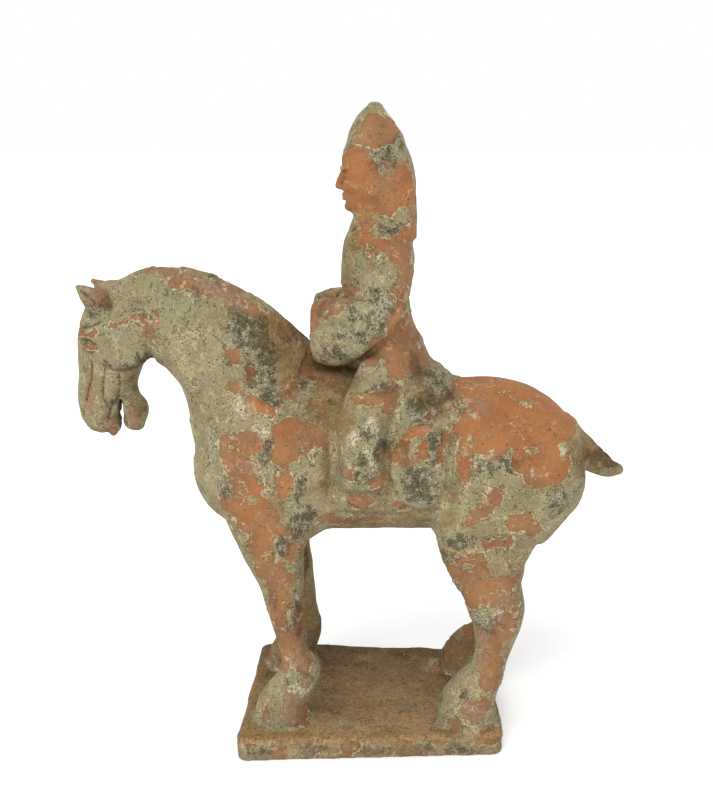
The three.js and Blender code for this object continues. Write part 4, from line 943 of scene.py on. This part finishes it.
# small spots of paint showing through near the bare areas, and scraps of crust left inside them
spot, scrap = g.noise(3.8, 3, 0.6, 0.4), g.noise(4.4, 4, 0.62, 0.5)
edge = g.math("MAXIMUM", edge, g.mul(g.math("SUBTRACT", spot, g.ramp(a_orange, -9.0, -1.5, 0.8, 0.65)), 22.0))
edge = g.math("MINIMUM", edge, g.mul(g.math("SUBTRACT", g.ramp(a_gold, 0.0, 1.0, 0.645, 0.72), scrap), 22.0))
soft = g.ramp(g.noise(19.0, 2, 0.5), 0.52, 0.62)          # where the paint is worn thin rather than chipped
is_orange = g.add(g.mul(g.ramp(edge, -0.14, 0.14), g.math("SUBTRACT", 1.0, soft)), g.mul(g.ramp(edge, -2.6, 1.4), soft))
chipped = g.ramp(g.noise(6.5, 2, 0.5), 0.4, 0.52)
rim = g.mul(g.ramp(g.math("ABSOLUTE", g.add(edge, 0.2)), 0.5, 0.2), g.most(chipped, g.mul(a_dark, 0.8)),
            g.ramp(g.noise(2.8, 2, 0.5), 0.36, 0.48), g.ramp(soft, 0.0, 1.0, 1.0, 0.25))
shade = g.mul(g.ramp(g.math("ABSOLUTE", g.math("SUBTRACT", edge, 0.55)), 0.4, 0.1), g.ramp(g.noise(3.1, 2, 0.5), 0.46, 0.58))
under_rim = g.mul(g.ramp(g.math("ABSOLUTE", g.add(edge, 1.0)), 0.6, 0.15), g.ramp(g.noise(3.4, 2, 0.5), 0.46, 0.6))

patchy, patchy2 = g.ramp(g.noise(8.0, 2, 0.55), 0.46, 0.6), g.ramp(g.noise(11.0, 3, 0.55), 0.45, 0.62)
# bare orange paint, brighter and more saturated in the gold areas
c_orange = g.mix(a_gold, g.mix(g.ramp(broad, 0.34, 0.66), linear(147, 103, 71), linear(170, 121, 84)),
                 g.mix(g.ramp(broad, 0.34, 0.66), linear(164, 104, 64), linear(181, 118, 72)))
c_orange = g.mix(g.mul(g.ramp(mid, 0.5, 0.74), 0.5), c_orange, linear(176, 131, 95))
c_orange = g.mix(g.mul(g.ramp(g.noise(10.0, 4, 0.65), 0.5, 0.66), g.ramp(a_gold, 0.0, 1.0, 0.62, 0.3)), c_orange, linear(152, 126, 92))
c_orange = g.mix(g.mul(g.ramp(g.noise(7.5, 3, 0.6), 0.55, 0.7), g.ramp(a_gold, 0.0, 1.0, 0.5, 0.2)), c_orange, linear(182, 142, 117))
c_orange = g.mix(g.mul(g.ramp(small, 0.54, 0.7), 0.35), c_orange, linear(138, 94, 64))
c_orange = g.mix(g.mul(g.ramp(fine, 0.52, 0.72), 0.45), c_orange, linear(138, 88, 58))
c_orange = g.mix(g.mul(g.ramp(fine, 0.45, 0.28), 0.4), c_orange, linear(198, 152, 110))
c_orange = g.mix(g.mul(g.lines(5.0, 0.028, 3, 0.6), patchy, g.ramp(g.noise(13.0, 2, 0.5), 0.5, 0.58), 0.8), c_orange, linear(212, 184, 146))
c_orange = g.mix(g.mul(g.lines(3.6, 0.03, 2, 0.8), patchy2, 0.6), c_orange, linear(106, 78, 54))
c_orange = g.mix(g.mul(shade, 0.45), c_orange, linear(104, 74, 50))
c_orange = g.mix(g.specks(2.6, 0.12, 0.2), c_orange, linear(206, 184, 148))
pits = g.specks(2.6, 0.2, 0.2)
c_orange = g.mix(pits, c_orange, linear(60, 47, 34))
# olive grey crust
c_olive = g.mix(g.ramp(broad, 0.32, 0.68), linear(148, 134, 101), linear(170, 158, 124))
c_olive = g.mix(g.mul(g.ramp(mid, 0.46, 0.7), 0.6), c_olive, linear(160, 150, 126))
c_olive = g.mix(g.mul(g.ramp(g.noise(7.0, 4, 0.65), 0.52, 0.66), 0.6), c_olive, linear(158, 122, 84))
c_olive = g.mix(g.mul(g.ramp(g.noise(26.0, 2, 0.5), 0.5, 0.64), 0.5), c_olive, linear(150, 146, 116))
c_olive = g.mix(g.mul(g.ramp(small, 0.5, 0.68), 0.45), c_olive, linear(124, 112, 82))
c_olive = g.mix(g.mul(g.ramp(fine, 0.5, 0.66), 0.45), c_olive, linear(112, 101, 75))
c_olive = g.mix(g.mul(g.ramp(fine, 0.46, 0.3), 0.4), c_olive, linear(192, 182, 148))
c_olive = g.mix(g.mul(g.lines(4.6, 0.028, 3, 0.8), patchy2, 0.8), c_olive, linear(74, 66, 50))
c_olive = g.mix(g.mul(g.lines(3.3, 0.04, 2, 0.6), patchy, 0.65), c_olive, linear(204, 192, 160))
holes = g.specks(1.9, 0.25, 0.27)
c_olive = g.mix(g.mul(holes, 0.95), c_olive, linear(52, 46, 35))
c_olive = g.mix(g.mul(g.specks(2.1, 0.12, 0.22), 0.85), c_olive, linear(210, 199, 166))
# dark granular crust
c_dark = g.mix(g.ramp(mid, 0.36, 0.64), linear(110, 101, 79), linear(142, 131, 103))
c_dark = g.mix(g.mul(g.ramp(small, 0.48, 0.64), 0.4), c_dark, linear(96, 88, 66))
c_dark = g.mix(g.mul(g.ramp(grit, 0.53, 0.6), 0.8), c_dark, linear(56, 50, 38))
c_dark = g.mix(g.mul(g.ramp(fine, 0.47, 0.36), 0.55), c_dark, linear(178, 168, 140))
c_dark = g.mix(g.mul(g.ramp(fine, 0.53, 0.64), 0.55), c_dark, linear(60, 53, 40))
c_dark = g.mix(g.mul(g.lines(1.7, 0.1, 2, 0.5), g.ramp(g.noise(5.0, 2, 0.5), 0.46, 0.58), 0.75), c_dark, linear(212, 202, 173))
c_dark = g.mix(g.mul(g.specks(1.3, 0.3, 0.28), 0.9), c_dark, linear(44, 40, 33))
c_dark = g.mix(g.mul(g.specks(1.6, 0.2, 0.26), 0.9), c_dark, linear(210, 201, 176))
# whitish slip, pinkish clay, soil; the soil's colour also serves as painted shade in hollows, on undersides and on the
# far legs
c_pale = g.mix(g.ramp(small, 0.42, 0.6), linear(194, 180, 151), linear(142, 129, 103))
c_pale = g.mix(g.mul(g.lines(2.2, 0.09, 2, 0.5), 0.85), c_pale, linear(228, 218, 194))
c_pale = g.mix(g.mul(g.ramp(grit, 0.52, 0.58), 0.9), c_pale, linear(70, 61, 46))
c_pale = g.mix(g.mul(g.specks(1.5, 0.25, 0.25), 0.8), c_pale, linear(74, 66, 52))
c_pink = g.mix(g.ramp(small, 0.4, 0.62), linear(168, 128, 102), linear(140, 111, 90))
c_pink = g.mix(g.mul(g.ramp(grit, 0.55, 0.64), 0.35), c_pink, linear(92, 74, 58))
c_soil_and_shade = g.mix(g.ramp(broad, 0.36, 0.64), linear(108, 79, 44), linear(137, 105, 62))
c_soil_and_shade = g.mix(g.mul(g.ramp(grit, 0.52, 0.62), 0.75), c_soil_and_shade, linear(72, 54, 32))
c_soil_and_shade = g.mix(g.mul(g.ramp(fine, 0.47, 0.32), 0.6), c_soil_and_shade, linear(172, 142, 98))
c_soil_and_shade = g.mix(g.mul(g.specks(1.6, 0.4, 0.25), 0.85), c_soil_and_shade, linear(46, 34, 20))

# trodden earth on the slab, with painted light: lighter towards its near edge, darker at the back and in a painted
# shadow behind the forelegs
c_earth = g.mix(a_lit, linear(106, 79, 44), linear(186, 147, 103))
c_earth = g.mix(g.mul(g.ramp(broad, 0.5, 0.66), 0.35), c_earth, linear(100, 76, 44))
c_earth = g.mix(g.mul(g.ramp(mid, 0.5, 0.66), 0.45), c_earth, linear(94, 72, 44))
c_earth = g.mix(g.mul(g.ramp(small, 0.5, 0.64), 0.5), c_earth, linear(92, 70, 42))
c_earth = g.mix(g.mul(g.ramp(grit, 0.52, 0.6), 0.7), c_earth, linear(62, 46, 28))
c_earth = g.mix(g.mul(g.ramp(fine, 0.47, 0.34), 0.5), c_earth, linear(196, 158, 112))
c_earth = g.mix(g.mul(g.ramp(fine, 0.54, 0.66), 0.5), c_earth, linear(58, 43, 26))
c_earth = g.mix(g.mul(g.specks(2.0, 0.3, 0.22), 0.9), c_earth, linear(40, 31, 20))

lumpy = g.noise(3.0, 3, 0.6)
w_dark = g.ramp(g.add(a_dark, g.mul(g.math("SUBTRACT", lumpy, 0.5), 1.1), g.mul(g.math("SUBTRACT", grit, 0.5), 1.8), g.mul(g.math("SUBTRACT", fine, 0.5), 1.0)), 0.24, 0.84)
w_pale = g.ramp(g.add(a_pale, g.mul(g.math("SUBTRACT", lumpy, 0.5), 1.7), g.mul(g.math("SUBTRACT", grit, 0.5), 2.0)), 0.36, 0.82)
c_soil_and_shade = g.mix(g.mul(w_dark, 0.55), c_soil_and_shade, linear(88, 64, 38))
c = g.mix(w_dark, c_olive, c_dark)
c = g.mix(g.mul(under_rim, 0.75), c, linear(74, 65, 49))
o = g.mix(g.mul(a_dark, g.ramp(grit, 0.55, 0.66)), c_orange, linear(110, 84, 66))
c = g.mix(is_orange, c, o)
c = g.mix(g.mul(w_pale, g.ramp(is_orange, 0.0, 1.0, 0.85, 0.45)), c, c_pale)
w_pink = g.ramp(g.add(a_pink, g.mul(g.math("SUBTRACT", lumpy, 0.5), 1.2), g.mul(g.math("SUBTRACT", small, 0.5), 2.2), g.mul(g.math("SUBTRACT", fine, 0.5), 1.4)), 0.3, 0.8)
c = g.mix(g.mul(w_pink, 0.82), c, c_pink)
c = g.mix(g.mul(rim, 0.9), c, linear(222, 207, 172))
# painted shade: the incised grooves darkened
c = g.mix(g.mul(g.ramp(g.add(a_groove_shade, g.mul(g.math("SUBTRACT", small, 0.5), 1.2)), 0.36, 1.0), 0.72), c, linear(74, 62, 44))
# soil, and painted shade in hollows, on undersides and on the far legs, all laid on in the soil's colour
soil_and_shade_veil = g.add(g.mul(a_soil_and_shade, g.ramp(lumpy, 0.3, 0.62, 0.6, 1.0)), g.mul(g.ramp(a_hollow, 0.42, 0.95), 0.7))
c = g.mix(g.math("MINIMUM", soil_and_shade_veil, 0.92), c, c_soil_and_shade)
c = g.mix(g.mul(a_earth, 0.94), c, c_earth)
# painted shade: the deepest hollows darker still
c = g.mix(g.mul(g.ramp(a_hollow, 0.75, 1.1), 0.5), c, linear(58, 46, 32))
g.put(bsdf.inputs["Base Color"], c)
g.put(bsdf.inputs["Roughness"], g.ramp(is_orange, 0.0, 1.0, 0.94, 0.84))
bsdf.inputs["Specular IOR Level"].default_value = 0.25

height = g.add(g.ramp(edge, -0.35, 0.25, 0.22, 0.0), g.mul(fine, 0.16), g.mul(small, 0.2),
               g.mul(g.ramp(grit, 0.62, 0.38), g.math("MULTIPLY", w_dark, 0.4)),
               g.mul(holes, -0.2), g.mul(pits, is_orange, -0.15), g.mul(rim, 0.08))
bump = mat.node_tree.nodes.new("ShaderNodeBump")
bump.inputs["Strength"].default_value = 1.0
bump.inputs["Distance"].default_value = 0.001
g.put(bump.inputs["Height"], height)
mat.node_tree.links.new(bump.outputs["Normal"], bsdf.inputs["Normal"])
thin.materials.clear()
thin.materials.append(mat)

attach(piece, "root")
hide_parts(NODE)

# ------------------------------------------------------------------ floor, light, camera
bpy.ops.mesh.primitive_plane_add(size=60.0, location=(0, 0, 0))
floor = bpy.context.object
floor.name = "floor"
fm = bpy.data.materials.new("pale_floor")
fm.use_nodes = True
fm.node_tree.nodes["Principled BSDF"].inputs["Base Color"].default_value = (0.94, 0.94, 0.94, 1)
fm.node_tree.nodes["Principled BSDF"].inputs["Roughness"].default_value = 0.9
fm.node_tree.nodes["Principled BSDF"].inputs["Emission Color"].default_value = (1, 1, 1, 1)
fm.node_tree.nodes["Principled BSDF"].inputs["Emission Strength"].default_value = 0.18
floor.data.materials.append(fm)

scene = bpy.context.scene
# bright walls round the floor, a dimmer ceiling
world = bpy.data.worlds.new("studio")
world.use_nodes = True
wt = world.node_tree
way = wt.nodes.new("ShaderNodeTexCoord")
split = wt.nodes.new("ShaderNodeSeparateXYZ")
wt.links.new(way.outputs["Generated"], split.inputs["Vector"])
fade = wt.nodes.new("ShaderNodeMapRange")
fade.interpolation_type = "SMOOTHSTEP"
fade.inputs["From Min"].default_value, fade.inputs["From Max"].default_value = 0.16, 0.5
fade.inputs["To Min"].default_value, fade.inputs["To Max"].default_value = 1.0, 0.4
wt.links.new(split.outputs["Z"], fade.inputs["Value"])
wt.links.new(fade.outputs["Result"], wt.nodes["Background"].inputs["Strength"])
wt.nodes["Background"].inputs["Color"].default_value = (1, 1, 1, 1)
scene.world = world
scene.view_settings.view_transform = "Standard"
scene.view_settings.look = "None"


def soft_sun(name, towards, strength, spread):
    data = bpy.data.lights.new(name, "SUN")
    data.energy, data.angle = strength, math.radians(spread)
    ob = bpy.data.objects.new(name, data)
    scene.collection.objects.link(ob)
    ob.rotation_mode = "QUATERNION"
    ob.rotation_quaternion = Vector(towards).to_track_quat("Z", "Y")
    return ob


soft_sun("key", (-0.35, -0.66, 0.78), 2.2, 48)
soft_sun("fill", (0.9, -0.5, 0.5), 0.35, 60)
soft_sun("back", (0.3, 0.9, 0.7), 1.1, 50)

CAM_AT = (10.8, -583.0, 341.2)     # mm
CAM_YAW, CAM_PITCH = -2.0, 14.0    # degrees
FOCAL_PX = 1050.0                  # in an image 713 x 800
y, p = math.radians(CAM_YAW), math.radians(CAM_PITCH)
fwd = Vector((math.sin(y) * math.cos(p), math.cos(y) * math.cos(p), -math.sin(p)))
cam_data = bpy.data.cameras.new("camera")
cam_data.sensor_width = 36.0
cam_data.lens = FOCAL_PX / 800.0 * 36.0
cam_data.clip_start, cam_data.clip_end = 0.01, 200
cam = bpy.data.objects.new("camera", cam_data)
scene.collection.objects.link(cam)
cam.location = [c * MM for c in CAM_AT]
cam.rotation_mode = "QUATERNION"
cam.rotation_quaternion = fwd.to_track_quat("-Z", "Y")
scene.camera = cam
